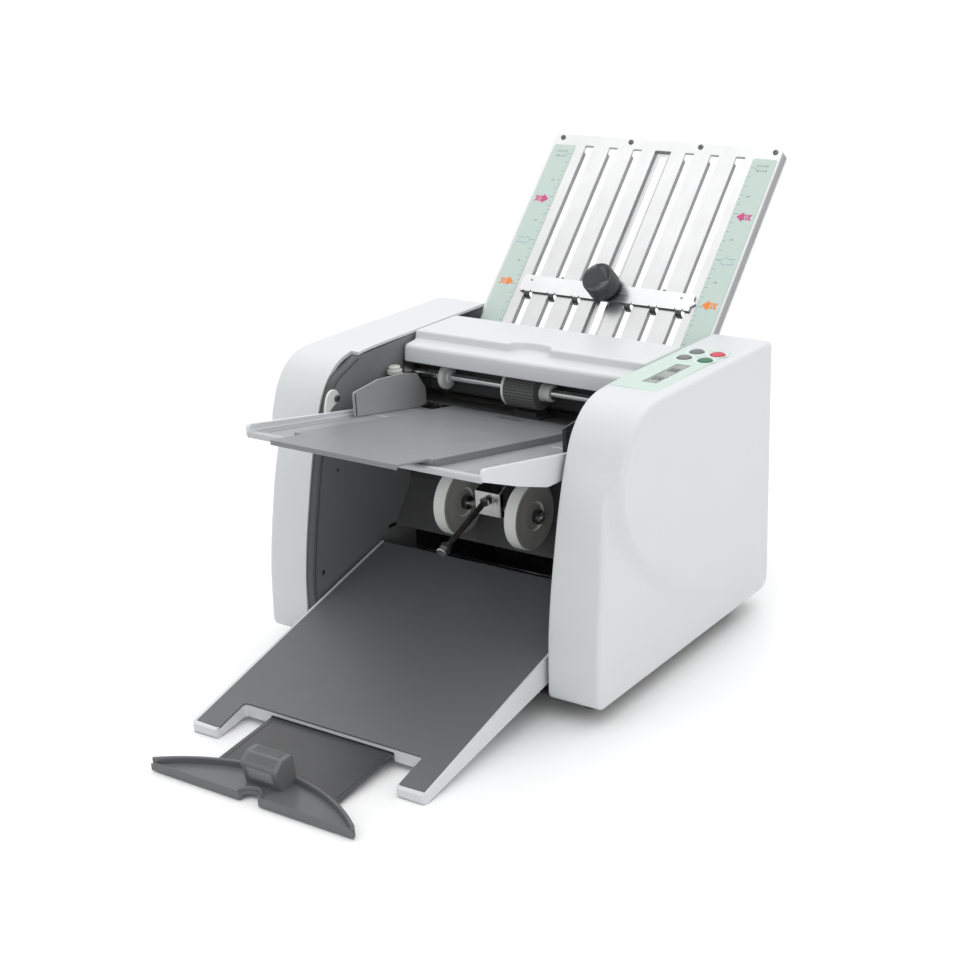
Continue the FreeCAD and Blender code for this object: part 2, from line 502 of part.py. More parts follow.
# ---- motor and belt ----
can = cyl("motor_can", (-96.0, M[0], M[1]), 25.0, 66.0)
boss = cyl("motor_boss", (-99.0, M[0], M[1]), 9.0, 3.0)
cap = cyl("motor_cap", (-30.0, M[0], M[1]), 18.0, 7.0)
brk = box("motor_foot", -90.0, -36.0, M[0] - 14.0, M[0] + 14.0, 0.0, 14.0)
node("motor", cut("motor_all", fuse("motor_fuse", [can, boss, cap, brk]), [cyl("motor_bore", (-101.0, M[0], M[1]), 4.06, 25.0)]))
mp_x = x_gear_l - 12.0
node("motor_pulley", fuse("motor_pulley_all", [cyl("motor_shaft", (mp_x, M[0], M[1]), 4.0, -78.0 - mp_x), cyl("pulley_hub", (mp_x, M[0], M[1]), 9.0, 9.0),
                                               cyl("pulley_flange", (mp_x - 1.5, M[0], M[1]), 11.0, 1.5)]))


def belt_loop(name, c1, r1, c2, r2, x0, x1, thick):
    """Flat belt: the band between two offsets of the line round two pulleys."""
    d = math.hypot(c2[0] - c1[0], c2[1] - c1[1])
    base_a = math.atan2(c2[1] - c1[1], c2[0] - c1[0])

    def loop(g):
        ra, rb = r1 + g, r2 + g
        t = math.acos((ra - rb) / d)
        pt = lambda c, r, a: V(0, c[0] + r * math.cos(a), c[1] + r * math.sin(a))
        a1, a2 = base_a + t, base_a - t
        e = [Part.LineSegment(pt(c1, ra, a1), pt(c2, rb, a1)).toShape(),
             Part.Arc(pt(c2, rb, a1), pt(c2, rb, base_a), pt(c2, rb, a2)).toShape(),
             Part.LineSegment(pt(c2, rb, a2), pt(c1, ra, a2)).toShape(),
             Part.Arc(pt(c1, ra, a2), pt(c1, ra, base_a + math.pi), pt(c1, ra, a1)).toShape()]
        return Part.Face(Part.Wire(Part.__sortEdges__(e)))
    o = doc.addObject("Part::Feature", name)
    o.Shape = loop(thick + 0.25).cut(loop(0.25)).Faces[0].extrude(V(x1 - x0, 0, 0))
    o.Placement = Placement(at(x0, 0, 0), Rotation())
    return o


node("drive_belt", belt_loop("belt_loop", B, 22.0, M, 9.0, mp_x + 0.4, mp_x + 8.6, dim("belt_thick", 1.6)))

# ---- upper fold plate: local frame x across, y up the slope, z out of the face ----
ua = math.radians(plate_angle)


def on_plate(x, s, off):
    """Point at distance s below the top edge and off above the face."""
    return at(x, plate_top_y - s * math.cos(ua) - off * math.sin(ua), plate_top_z - s * math.sin(ua) + off * math.cos(ua))


up_rot = Rotation(V(1, 0, 0), plate_angle)


def slab(name, x0, x1, s0, s1, z0, z1):
    """Box on the upper plate from s0 to s1 below its top edge and z0 to z1 above its face."""
    o = doc.addObject("Part::Box", name)
    for prop, key, v in (("Length", "_dx", x1 - x0), ("Width", "_dy", s1 - s0), ("Height", "_dz", z1 - z0)):
        dim(name + key, v)
        o.setExpression(prop, "Dimensions." + name + key)
    o.Placement = Placement(on_plate(x0, s1, z0), up_rot)
    return o


hw = plate_width / 2.0
plate_parts = [slab("plate_face", -hw, hw, 0.0, plate_length, -2.0, 0.0), slab("plate_back", -hw, hw, 0.0, plate_length, -plate_thick, -9.4),
               slab("plate_side_l", -hw, -hw + 10.0, 0.0, plate_length, -plate_thick + 0.5, -0.5),
               slab("plate_side_r", hw - 10.0, hw, 0.0, plate_length, -plate_thick + 0.5, -0.5),
               slab("plate_top_rail", -hw, hw, 0.0, 5.2, -plate_thick + 0.5, -0.5)]
slot_x = [(-83.9, -74.4), (-57.2, -47.9), (-30.9, -21.7), (-7.2, 9.8), (24.9, 34.2), (51.2, 60.2), (77.4, 86.9)]
slots = [slab("plate_slot_%d" % i, a, b, 11.0, plate_length - 11.0, -2.5, 2.0) for i, (a, b) in enumerate(slot_x)]
slots += [slab("back_slot_%d" % i, a - 7.4, b + 0.4, 5.6, plate_length - 10.0, -plate_thick - 2, -9.0) for i, (a, b) in enumerate(slot_x)]
sheets = cut("plate_cut", fuse("plate_all", plate_parts), slots)
# folded edges along the slots, and the channel with the narrow clamping slot under the wide middle one
folds = []
for i, (a, b) in enumerate(slot_x):
    if i != 3:
        folds += [slab("fold_l_%d" % i, a - 1.3, a, 17.0, plate_length - 17.0, -5.6, -1.0), slab("fold_r_%d" % i, b, b + 1.3, 17.0, plate_length - 17.0, -4.0, -1.0)]
channel = [slab("channel_floor", -10.5, 13.0, 8.8, plate_length - 8.8, -4.6, -3.2), slab("channel_l", -8.4, -7.2, 9.4, plate_length - 9.4, -3.6, -1.0),
           slab("channel_r", 9.8, 11.0, 9.4, plate_length - 9.4, -3.6, -1.0)]
channel = cut("channel_cut", fuse("channel_all", channel), [slab("channel_slot", -2.4, 5.0, 15.0, plate_length - 15.0, -6.0, -2.0)])
node("upper_fold_plate", fuse("plate_done", [sheets, channel] + folds))
node("scale_strips", compound("strip_set", [slab("strip_l", -118.6, -94.6, 12.0, 214.0, 0.0, 0.4), slab("strip_r", 95.4, 119.4, 12.0, 214.0, 0.0, 0.4)]))
ps = []
for i, x in enumerate((-112.4, -36.5, 38.0, 114.5)):
    o = doc.addObject("Part::Cylinder", "plate_screw_%d" % i)
    dim("plate_screw_rad", 2.2)
    dim("plate_screw_high", 1.0)
    o.setExpression("Radius", "Dimensions.plate_screw_rad")
    o.setExpression("Height", "Dimensions.plate_screw_high")
    o.Placement = Placement(on_plate(x, 4.0, 0.0), up_rot)
    ps.append(o)
node("plate_screws", compound("plate_screw_set", ps))
S_KNOB = dim("knob_rest", 160.3)
bar = [slab("stop_bar_face", -88.8, 92.4, 156.0, 172.8, 0.7, 2.7), slab("stop_pointer", 92.0, 95.4, 163.4, 166.4, 0.7, 2.7)]
for i, (a, b) in enumerate(slot_x):
    if i == 3:
        bar.append(slab("stop_tooth_3", -5.6, 8.2, S_KNOB - 4.0, S_KNOB + 4.0, -2.6, 1.0))
    else:
        bar.append(slab("stop_tooth_%d" % i, a + 1.3, a + 6.8, 172.2, 177.5, -5.6, 2.4))
bar.append(slab("stop_post", -5.0, 7.6, S_KNOB - 4.2, S_KNOB + 6.6, 2.0, 4.0))


def on_cyl(name, x, s, z0, r, length):
    o = doc.addObject("Part::Cylinder", name)
    dim(name + "_rad", r)
    dim(name + "_len", length)
    o.setExpression("Radius", "Dimensions." + name + "_rad")
    o.setExpression("Height", "Dimensions." + name + "_len")
    o.Placement = Placement(on_plate(x, s, z0), up_rot)
    return o


node("upper_stop_bar", cut("stop_bar_cut", fuse("stop_bar_all", bar), [on_cyl("stop_bar_bore", 1.3, S_KNOB, -13.0, 3.06, 20.0)]))
node("upper_stop_knob", fuse("knob_all", [on_cyl("knob_head", 1.3, S_KNOB, 5.0, 15.0, 17.0), on_cyl("knob_stem", 1.3, S_KNOB, -7.6, 3.0, 13.0)]))
car = []
for side, (x0, x1) in (("l", (-half - 0.1, -half + 9.0)), ("r", (half - 9.0, half + 0.1))):
    car.append(slab("carrier_%s" % side, x0, x1, 190.0, 243.0, -plate_thick - 2.9, -plate_thick - 0.4))

# ---- lower fold plate, sloping down to the back ----
la = math.radians(low_angle)
LOW0 = (228.5, 130.5)
lo_rot = Rotation(V(1, 0, 0), -low_angle)


def on_low(x, s, off):
    """Point at distance s down the lower plate from its mouth and off above its face."""
    return at(x, LOW0[0] + s * math.cos(la) + off * math.sin(la), LOW0[1] - s * math.sin(la) + off * math.cos(la))


def low_slab(name, x0, x1, s0, s1, z0, z1):
    o = doc.addObject("Part::Box", name)
    for prop, key, v in (("Length", "_dx", x1 - x0), ("Width", "_dy", s1 - s0), ("Height", "_dz", z1 - z0)):
        dim(name + key, v)
        o.setExpression(prop, "Dimensions." + name + key)
    o.Placement = Placement(on_low(x0, s0, z0), lo_rot)
    return o


lw = low_width / 2.0
low_parts = [low_slab("low_face", -lw, lw, 0.0, low_length, 1.6, 4.0), low_slab("low_back", -lw, lw, 0.0, low_length, -4.0, -1.6),
             low_slab("low_side_l", -lw, -lw + 9.0, 0.0, low_length, -3.6, 3.6), low_slab("low_side_r", lw - 9.0, lw, 0.0, low_length, -3.6, 3.6),
             low_slab("low_end", -lw, lw, low_length - 8.0, low_length, -3.6, 3.6)]
low_slots = [low_slab("low_slot_%d" % i, x - 4.5, x + 4.5, 12.0, low_length - 12.0, -6.0, 6.0) for i, x in enumerate((-80, -48, -16, 16, 48, 80))]
low_slots.append(low_slab("low_slot_mid", -4.0, 4.0, 40.0, low_length - 12.0, -6.0, 6.0))
node("lower_fold_plate", cut("low_cut", fuse("low_all", low_parts), low_slots))
L_BAR = dim("low_stop_rest", 98.0)
lb = [low_slab("low_bar_face", -92.0, 92.0, L_BAR - 6.0, L_BAR + 6.0, 4.5, 6.3)]
for i, x in enumerate((-80, -48, -16, 16, 48, 80)):
    lb.append(low_slab("low_tooth_%d" % i, x - 3.6, x + 3.6, L_BAR - 2.0, L_BAR + 2.0, -3.4, 5.0))


def low_cyl(name, x, s, z0, r, length):
    o = doc.addObject("Part::Cylinder", name)
    dim(name + "_rad", r)
    dim(name + "_len", length)
    o.setExpression("Radius", "Dimensions." + name + "_rad")
    o.setExpression("Height", "Dimensions." + name + "_len")
    o.Placement = Placement(on_low(x, s, z0), lo_rot)
    return o


node("lower_stop_bar", cut("low_bar_cut", fuse("low_bar_all", lb), [low_cyl("low_bar_bore", 0.0, L_BAR, -8.0, 3.06, 20.0)]))
node("lower_stop_knob", fuse("low_knob_all", [low_cyl("low_knob_head", 0.0, L_BAR, 7.0, 11.0, 12.0), low_cyl("low_knob_stem", 0.0, L_BAR, -3.0, 3.0, 12.0)]))
lcar = []
for side, (x0, x1) in (("l", (-half - 0.1, -lw - 0.5)), ("r", (lw + 0.5, half + 0.1))):
    lcar.append(low_slab("low_carrier_%s" % side, x0, x1, 6.0, 44.0, -6.4, 6.4))
node("plate_carriers", compound("carrier_set_all", car + lcar))

# ---- stacker wheels on their swinging bracket ----
right_gear_x = half + 2.6 + 1.2
sd_l = -half - 4.5
node("stacker_drive_shaft", fuse("stack_drive_all", [cyl("stack_rod", (sd_l, P[0], P[1]), 4.0, right_gear_x + gear_width - sd_l),
                                                     gear("stack_gear", P, right_gear_x, stack_teeth, ph_p, gear_width),
                                                     cyl("stack_pulley", (6.0, P[0], P[1]), 5.0, 4.0)]))
arm = [(99.0, 101.0), (99.0, 122.4), (108.0, 127.0), (162.0, 146.5), ((170.0, 146.6), (176.4, 141.0)), ((176.8, 134.0), (171.6, 130.6)), (118.0, 97.6), (104.0, 97.6)]
br = fuse("bracket_all", [prism("arm_l", arm, -13.6, -12.0), prism("arm_r", arm, 12.0, 13.6), box("arm_front", -13.6, 13.6, 98.0, 99.8, 101.0, 122.4)])
rd = math.atan2(90.5 - 115.3, 28.0 - 96.6)
rod_dir = V(0, math.cos(rd), math.sin(rd))
rod_rot = Rotation(V(0, 0, 1), rod_dir)
rod_len = 66.0
node("stacker_bracket", cut("bracket_cut", br, [cyl("bracket_bore_p", (-22.0, P[0], P[1]), 4.06, 44.0), cyl("bracket_bore_w", (-22.0, W[0], W[1]), 3.05, 44.0)]))
rod = cyl("handle_rod", (0.0, 97.0, 115.42), 2.6, rod_len, rod_rot)
rk = cyl("handle_end", (0.0, 97.0 + (rod_len - 2.0) * math.cos(rd), 115.42 + (rod_len - 2.0) * math.sin(rd)), 5.2, 7.0, rod_rot)
node("stacker_rod", fuse("rod_all", [rod, rk]))
ws = [cyl("wheel_rod", (-52.0, W[0], W[1]), 3.0, 104.0), cyl("wheel_pulley", (6.0, W[0], W[1]), 5.0, 4.0)]
for i, (x0, x1) in enumerate(((-48.4, -43.8), (43.8, 48.4), (-30.3, -25.0), (25.0, 30.3))):
    ws.append(cyl("wheel_boss_%d" % i, (x0, W[0], W[1]), 6.2, x1 - x0))
node("stacker_wheel_shaft", fuse("wheel_shaft_all", ws))
wh = []
for i, x0 in enumerate((-30.6 - wheel_width, 30.6)):
    tyre = cyl("wheel_tyre_%d" % i, (x0, W[0], W[1]), wheel_radius, wheel_width)
    bore = cyl("wheel_bore_%d" % i, (x0 - 1, W[0], W[1]), 3.0, wheel_width + 2)
    dish = [cyl("wheel_dish_%d_%d" % (i, k), (xx, W[0], W[1]), 12.0, 2.0) for k, xx in enumerate((x0 - 0.6, x0 + wheel_width - 1.4))]
    wh.append(cut("wheel_%d" % i, tyre, [bore] + dish))
node("stacker_wheels", compound("wheel_set", wh))
node("stacker_belt", belt_loop("stacker_loop", P, 5.0, W, 5.0, 6.4, 9.6, dim("ring_thick", 1.4)))

# ---- delivery tray ----


def tray_top(y):
    return -7.7 + (y + 159.0) * math.tan(math.radians(14.1))


def tray_bot(y):
    return -16.3 + max(0.0, y + 154.0) * math.tan(math.radians(9.6))


side = [(-160.0, -14.5), (-160.6, -9.2), (-159.0, -7.7), (96.0, tray_top(96)), (96.0, tray_bot(96)), (-154.0, -16.3)]
tray = prism("tray_block", side, -tray_half, tray_half)
well = prism("tray_well", [(-155.0, tray_top(-155) - 3.0), (-155.0, 10.0), (97.0, 90.0), (97.0, tray_top(97) - 3.0)], -tray_half + 3.5, tray_half - 3.5)
notch = box("tray_notch", -91.0, 91.0, -170.0, -125.0, -30.0, 40.0)
channel = prism("tray_channel", [(-150.0, -20.0), (-150.0, tray_top(-150) - 4.6), (-55.0, tray_top(-55) - 4.6), (-55.0, -20.0)], -63.0, 63.0)
under = prism("tray_under", [(-60.0, tray_bot(-60) - 2.0), (-60.0, tray_top(-60) - 8.0), (97.0, tray_top(97) - 8.0), (97.0, tray_bot(97) - 2.0)],
              -tray_half + 3.5, tray_half - 3.5)
tray_cut = cut("tray_cut", tray, [well, notch, channel, under])
tpn = [cyl("tray_pin_l", (-half - 2.6, TRAY_PIVOT[0], TRAY_PIVOT[1]), 3.0, 8.0), cyl("tray_pin_r", (half - 5.4, TRAY_PIVOT[0], TRAY_PIVOT[1]), 3.0, 8.0)]
# rails that hold the extension along its edges
ES = math.tan(math.radians(6.0))


def ext_bot(y):
    return -15.4 + (y + 205.0) * ES


rails = []
for i, (x0, x1) in enumerate(((-63.4, -56.0), (56.0, 63.4))):
    rails.append(prism("rail_low_%d" % i, [(-124.0, ext_bot(-124) - 2.2), (-124.0, ext_bot(-124) - 0.35), (-60.0, ext_bot(-60) - 0.35), (-60.0, ext_bot(-60) - 2.2)], x0, x1))
node("delivery_tray", fuse("tray_all", [tray_cut] + tpn + rails))
ts = prism("liner_block", [(-154.6, tray_top(-154.6) - 2.9), (-154.6, tray_top(-154.6) - 0.9), (95.8, tray_top(95.8) - 0.9), (95.8, tray_top(95.8) - 2.9)],
           -tray_half + 3.7, tray_half - 3.7)
node("tray_surface", cut("liner_cut", ts, [box("liner_notch", -91.2, 91.2, -170.0, -124.8, -30.0, 40.0)]))
ext = prism("ext_block", [(-205.0, ext_bot(-205)), (-205.0, ext_bot(-205) + 2.0), (-78.0, ext_bot(-78) + 2.0), (-78.0, ext_bot(-78))], -62.4, 62.4)
ext_c = [prism("ext_corner_%d" % i, pts, 0.0, 30.0, Placement(at(0, 0, -20.0), Rotation()), "XY_Plane") for i, pts in
         enumerate(([(-63.0, -206.0), (-63.0, -196.0), (-53.0, -206.0)], [(63.0, -206.0), (53.0, -206.0), (63.0, -196.0)]))]
node("tray_extension", cut("ext_cut", ext, ext_c))


def sheet_arc(half_chord, y_chord, sag, x0=0.0):
    return [(x0 - half_chord, y_chord), ((x0, y_chord + sag), (x0 + half_chord, y_chord))]


XS = 1.5
moon = prism("stop_plate", sheet_arc(102.0, -224.6, 36.6, XS), 0.0, 11.3, Placement(at(0, 0, -15.6), Rotation()), "XY_Plane")
dish = prism("stop_dish", [(XS - 99.0, -226.0), ((XS, -224.0 + 33.4), (XS + 99.0, -226.0))], 0.0, 9.0, Placement(at(0, 0, -9.9), Rotation()), "XY_Plane")
hollow = box("stop_hollow", XS - 70.0, XS + 70.0, -221.6, -180.0, -20.0, -12.9)
blk = prism("stop_block", [(-207.0, -11.5), (-211.5, 8.6), (-203.0, 15.2), (-191.6, 15.2), (-189.6, -3.0), (-189.6, -11.5)], XS - 18.5, XS + 18.5)
bite = cyl("stop_bite", (XS, -225.5, -20.0), 9.5, 14.0, Rotation())
stop_gap = prism("stop_gap", [(-221.2, ext_bot(-221.2) - 6.0), (-221.2, ext_bot(-221.2) + 2.35), (-180.0, ext_bot(-180) + 2.35), (-180.0, ext_bot(-180) - 6.0)],
                 -63.2, 63.2)
node("paper_stop", cut("stop_cut", fuse("stop_all", [cut("stop_base", moon, [dish]), blk]), [hollow, bite, stop_gap]))

# ---- control panel ----
pan_slope = (229.4 - 232.8) / 112.0
ov = prism("overlay_body", [(108.0, top_z(108) + 0.02), (108.0, top_z(108) + 0.42), (160.0, 233.22), (226.0, top_z(226) + 0.42), (226.0, top_z(226) + 0.02),
           (160.0, 232.82)], 123.4, 166.0)
ovc = [cyl("overlay_hole_%d" % i, (button_spot(i)[0], button_spot(i)[1], 225.0), button_radius + 0.35, 15.0, Rotation()) for i in range(4)]
ovc.append(box("overlay_display", 142.6, 156.4, 122.6, 178.4, 222.0, 240.0))
ovc.append(prism("overlay_corner", [(122.0, 227.0), (122.0, 205.0), (131.0, 227.0)], 0.0, 20.0, Placement(at(0, 0, 222.0), Rotation()), "XY_Plane"))
node("control_overlay", cut("overlay_cut", ov, ovc))
dw = prism("display_body", [(122.8, 224.0), (122.8, top_z(122.8) + 0.3), (178.2, top_z(178.2) + 0.3), (178.2, 224.0)], 142.8, 156.2)
node("display_window", dw)
for i, name in enumerate(("button_up", "button_down", "button_stop", "button_start")):
    bx, by = button_spot(i)
    zt = top_z(by) + 1.7
    cap = cyl(name + "_cap", (bx, by, zt - 6.0), button_radius, 6.0, Rotation())
    stem = cyl(name + "_stem", (bx, by, 220.2), 2.0, zt - 6.0 - 220.2 + 0.5, Rotation())
    node(name, fuse(name + "_all", [cap, stem]))
node("circuit_board", box("board", 126.5, 164.5, 112.0, 224.0, 217.2, 218.8))

# ---- fasteners: identical cross-head screws in the inner panels and base ----
sc = []
for i, (s, y, z) in enumerate(((-1, 50.0, 138.0), (1, 50.0, 138.0))):
    x0 = -half - 2.9 if s < 0 else half + 0.3
    sc.append(cyl("tap_%d" % i, (x0, y, z), 1.65, 2.6))
for i, (x, y) in enumerate(((-150, 60), (-150, 220), (150, 60), (150, 220), (-60, 150), (60, 150))):
    sc.append(cyl("tap_base_%d" % i, (x, y, -4.2), 3.0, 1.2, Rotation()))
node("panel_screws", compound("tap_set", sc))

doc.recompute()

bad = [o.Name for o in doc.Objects if any(s in ("Invalid", "Error") for s in o.State)]
if bad:
    raise SystemExit("objects that failed: %s" % bad)
for label, obj in nodes.items():
    s = obj.Shape
    if s.isNull() or not s.isValid() or s.Volume <= 0:
        raise SystemExit("bad shape: %s" % label)

os.makedirs("parts", exist_ok=True)
for old in os.listdir("parts"):
    if old.endswith(".step"):
        os.remove(os.path.join("parts", old))
lo, hi = V(1e9, 1e9, 1e9), V(-1e9, -1e9, -1e9)
for label, obj in nodes.items():
    bb = obj.Shape.BoundBox
    lo = V(min(lo.x, bb.XMin), min(lo.y, bb.YMin), min(lo.z, bb.ZMin))
    hi = V(max(hi.x, bb.XMax), max(hi.y, bb.YMax), max(hi.z, bb.ZMax))
    obj.Shape.exportStep("parts/%s.step" % label)
print("nodes", len(nodes), "box", [round(v, 2) for v in (lo.x, lo.y, lo.z, hi.x, hi.y, hi.z)])
for k, c in (("A", A), ("B", B), ("C", C), ("D", D), ("F", F), ("P", P), ("W", W), ("M", M), ("HINGE", HINGE)):
    print(k, round(c[0] + origin_back, 4), round(c[1] + foot_height, 4))
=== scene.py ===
import bpy
import bmesh
import json
import math
import numpy as np
from mathutils import Matrix, Vector
from mathutils.geometry import delaunay_2d_cdt


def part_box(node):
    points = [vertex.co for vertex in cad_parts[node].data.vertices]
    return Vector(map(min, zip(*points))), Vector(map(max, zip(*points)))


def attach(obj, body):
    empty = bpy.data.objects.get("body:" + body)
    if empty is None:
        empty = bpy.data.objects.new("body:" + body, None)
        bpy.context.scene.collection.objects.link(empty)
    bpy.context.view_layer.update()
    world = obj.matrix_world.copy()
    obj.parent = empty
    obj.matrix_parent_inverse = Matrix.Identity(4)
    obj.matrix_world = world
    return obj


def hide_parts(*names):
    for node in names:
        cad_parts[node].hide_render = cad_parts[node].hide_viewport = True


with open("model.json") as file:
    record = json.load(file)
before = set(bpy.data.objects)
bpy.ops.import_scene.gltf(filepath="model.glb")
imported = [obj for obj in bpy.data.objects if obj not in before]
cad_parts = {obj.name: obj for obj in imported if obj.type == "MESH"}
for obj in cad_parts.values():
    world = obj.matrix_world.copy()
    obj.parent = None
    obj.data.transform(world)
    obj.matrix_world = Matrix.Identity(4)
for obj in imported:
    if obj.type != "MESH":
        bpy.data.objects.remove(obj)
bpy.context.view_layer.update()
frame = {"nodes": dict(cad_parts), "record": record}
NODES = frame["nodes"]

# Lengths below are in millimetres, measured from the side covers' lower front edge;
# mm() moves them to the row frame, in metres.
OY, OZ = -96.0, 16.5


def mm(x, y, z):
    return Vector((x * 0.001, (y + OY) * 0.001, (z + OZ) * 0.001))


# ------------------------------------------------------------------ camera
def make_camera():
    az, el, roll = math.radians(36.9638), math.radians(20.5728), math.radians(-3.6222)
    back = Vector((math.sin(az) * math.cos(el), -math.cos(az) * math.cos(el), math.sin(el)))
    fw = -back
    right = fw.cross(Vector((0, 0, 1))).normalized()
    up = right.cross(fw)
    r0 = math.cos(roll) * right + math.sin(roll) * up
    r1 = -math.sin(roll) * right + math.cos(roll) * up
    cam = bpy.data.cameras.new("camera")
    cam.sensor_width = 36.0
    cam.lens = 1913.8033 * 36.0 / 960.0
    cam.clip_start, cam.clip_end = 0.05, 20.0
    ob = bpy.data.objects.new("camera", cam)
    bpy.context.scene.collection.objects.link(ob)
    m = Matrix((r0, r1, back)).transposed().to_4x4()
    m.translation = Vector((0.909979, -1.215051, 0.720746))
    ob.matrix_world = m
    bpy.context.scene.camera = ob


make_camera()


# ------------------------------------------------------------------ materials
class Mat:
    """A node material with a principled shader and a few procedural layers."""

    def __init__(self, name, color, rough=0.5, metal=0.0, spec=0.5, **k):
        m = bpy.data.materials.new(name)
        m.use_nodes = True
        self.m, self.t = m, m.node_tree
        self.n, self.l = m.node_tree.nodes, m.node_tree.links
        self.b = self.n["Principled BSDF"]
        self.b.inputs["Base Color"].default_value = (*color, 1)
        self.b.inputs["Roughness"].default_value = rough
        self.b.inputs["Metallic"].default_value = metal
        self.b.inputs["Specular IOR Level"].default_value = spec
        for key, v in k.items():
            self.b.inputs[key].default_value = v
        self.color = tuple(color)
        self.rough = rough
        self.height = None
        self.col_out = None
        self.rough_out = None
        tc = self.n.new("ShaderNodeTexCoord")
        self.obj = tc.outputs["Object"]

    def math(self, op, a, b=None, clamp=False):
        n = self.n.new("ShaderNodeMath")
        n.operation, n.use_clamp = op, clamp
        for i, v in enumerate((a, b)):
            if v is None:
                continue
            if isinstance(v, (int, float)):
                n.inputs[i].default_value = v
            else:
                self.l.new(v, n.inputs[i])
        return n.outputs[0]

    def xyz(self):
        if not hasattr(self, "_xyz"):
            s = self.n.new("ShaderNodeSeparateXYZ")
            self.l.new(self.obj, s.inputs[0])
            self._xyz = s.outputs
        return self._xyz

    def scaled(self, sx, sy, sz, rot=(0, 0, 0)):
        mp = self.n.new("ShaderNodeMapping")
        mp.vector_type = "POINT"
        mp.inputs["Scale"].default_value = (sx, sy, sz)
        mp.inputs["Rotation"].default_value = rot
        self.l.new(self.obj, mp.inputs["Vector"])
        return mp.outputs[0]

    def turned(self, rot):
        """Object coordinates turned about X by rot degrees, so that Y runs up a sloping plate."""
        mp = self.n.new("ShaderNodeMapping")
        mp.vector_type = "POINT"
        mp.inputs["Rotation"].default_value = (math.radians(rot), 0, 0)
        self.l.new(self.obj, mp.inputs["Vector"])
        return mp.outputs[0]

    def noise(self, scale, detail=3.0, rough=0.5, vec=None, dist=0.0):
        n = self.n.new("ShaderNodeTexNoise")
        n.inputs["Scale"].default_value = scale
        n.inputs["Detail"].default_value = detail
        n.inputs["Roughness"].default_value = rough
        n.inputs["Distortion"].default_value = dist
        self.l.new(self.obj if vec is None else vec, n.inputs["Vector"])
        return n.outputs["Fac"]

    def voronoi(self, scale, vec=None, feature="F1"):
        n = self.n.new("ShaderNodeTexVoronoi")
        n.feature = feature
        n.inputs["Scale"].default_value = scale
        self.l.new(self.obj if vec is None else vec, n.inputs["Vector"])
        return n.outputs["Distance"]

    def ramp(self, fac, p0, p1, v0=0.0, v1=1.0, smooth=False):
        n = self.n.new("ShaderNodeMapRange")
        n.interpolation_type = "SMOOTHSTEP" if smooth else "LINEAR"
        n.clamp = True
        self.l.new(fac, n.inputs["Value"])
        for key, v in (("From Min", p0), ("From Max", p1), ("To Min", v0), ("To Max", v1)):
            n.inputs[key].default_value = v
        return n.outputs["Result"]

    def tint(self, fac, color, amount=1.0):
        """Mix color over what is there by fac times amount."""
        n = self.n.new("ShaderNodeMix")
        n.data_type = "RGBA"
        if self.col_out is None:
            n.inputs["A"].default_value = (*self.color, 1)
        else:
            self.l.new(self.col_out, n.inputs["A"])
        n.inputs["B"].default_value = (*color, 1)
        f = fac if amount == 1.0 else self.math("MULTIPLY", fac, amount)
        self.l.new(f, n.inputs["Factor"])
        self.col_out = n.outputs["Result"]
        return self

    def mottle(self, scale, amount, vec=None, detail=4.0, tint=None):
        """Slight light and dark patches."""
        f = self.ramp(self.noise(scale, detail, 0.55, vec), 0.3, 0.7)
        dark = tuple(c * (1 - amount) for c in self.color) if tint is None else tint
        return self.tint(f, dark)

    def rough_var(self, fac, amount):
        n = self.n.new("ShaderNodeMapRange")
        n.clamp = True
        self.l.new(fac, n.inputs["Value"])
        for key, v in (("From Min", 0.25), ("From Max", 0.75), ("To Min", max(0.02, self.rough - amount)), ("To Max", min(1.0, self.rough + amount))):
            n.inputs[key].default_value = v
        self.rough_out = n.outputs["Result"]
        return self

    def bump(self, fac, strength, distance):
        n = self.n.new("ShaderNodeBump")
        n.inputs["Strength"].default_value = strength
        n.inputs["Distance"].default_value = distance
        self.l.new(fac, n.inputs["Height"])
        if self.height is not None:
            self.l.new(self.height, n.inputs["Normal"])
        self.height = n.outputs["Normal"]
        return self

    def edge_wear(self, color, lo=0.53, hi=0.60, amount=0.6, rough=None):
        g = self.n.new("ShaderNodeNewGeometry")
        f = self.ramp(g.outputs["Pointiness"], lo, hi)
        brk = self.ramp(self.noise(420.0, 4.0), 0.35, 0.62)
        return self.tint(self.math("MULTIPLY", f, brk), color, amount)

    def done(self):
        if self.col_out is not None:
            self.l.new(self.col_out, self.b.inputs["Base Color"])
        if self.rough_out is not None:
            self.l.new(self.rough_out, self.b.inputs["Roughness"])
        if self.height is not None:
            self.l.new(self.height, self.b.inputs["Normal"])
        return self.m


def moulded(name, color, rough=0.45, grain=2200.0, depth=0.00003, spec=0.45, mott=0.04, coat=0.0):
    """Moulded plastic with a fine spark-eroded grain."""
    a = Mat(name, color, rough, spec=spec)
    if coat:
        a.b.inputs["Coat Weight"].default_value = coat
        a.b.inputs["Coat Roughness"].default_value = 0.12
    a.mottle(9.0, mott)
    a.mottle(55.0, mott * 0.5)
    g = a.noise(grain, 3.0, 0.6)
    a.rough_var(a.noise(60.0, 4.0), 0.05)
    a.bump(g, 0.35, depth)
    return a


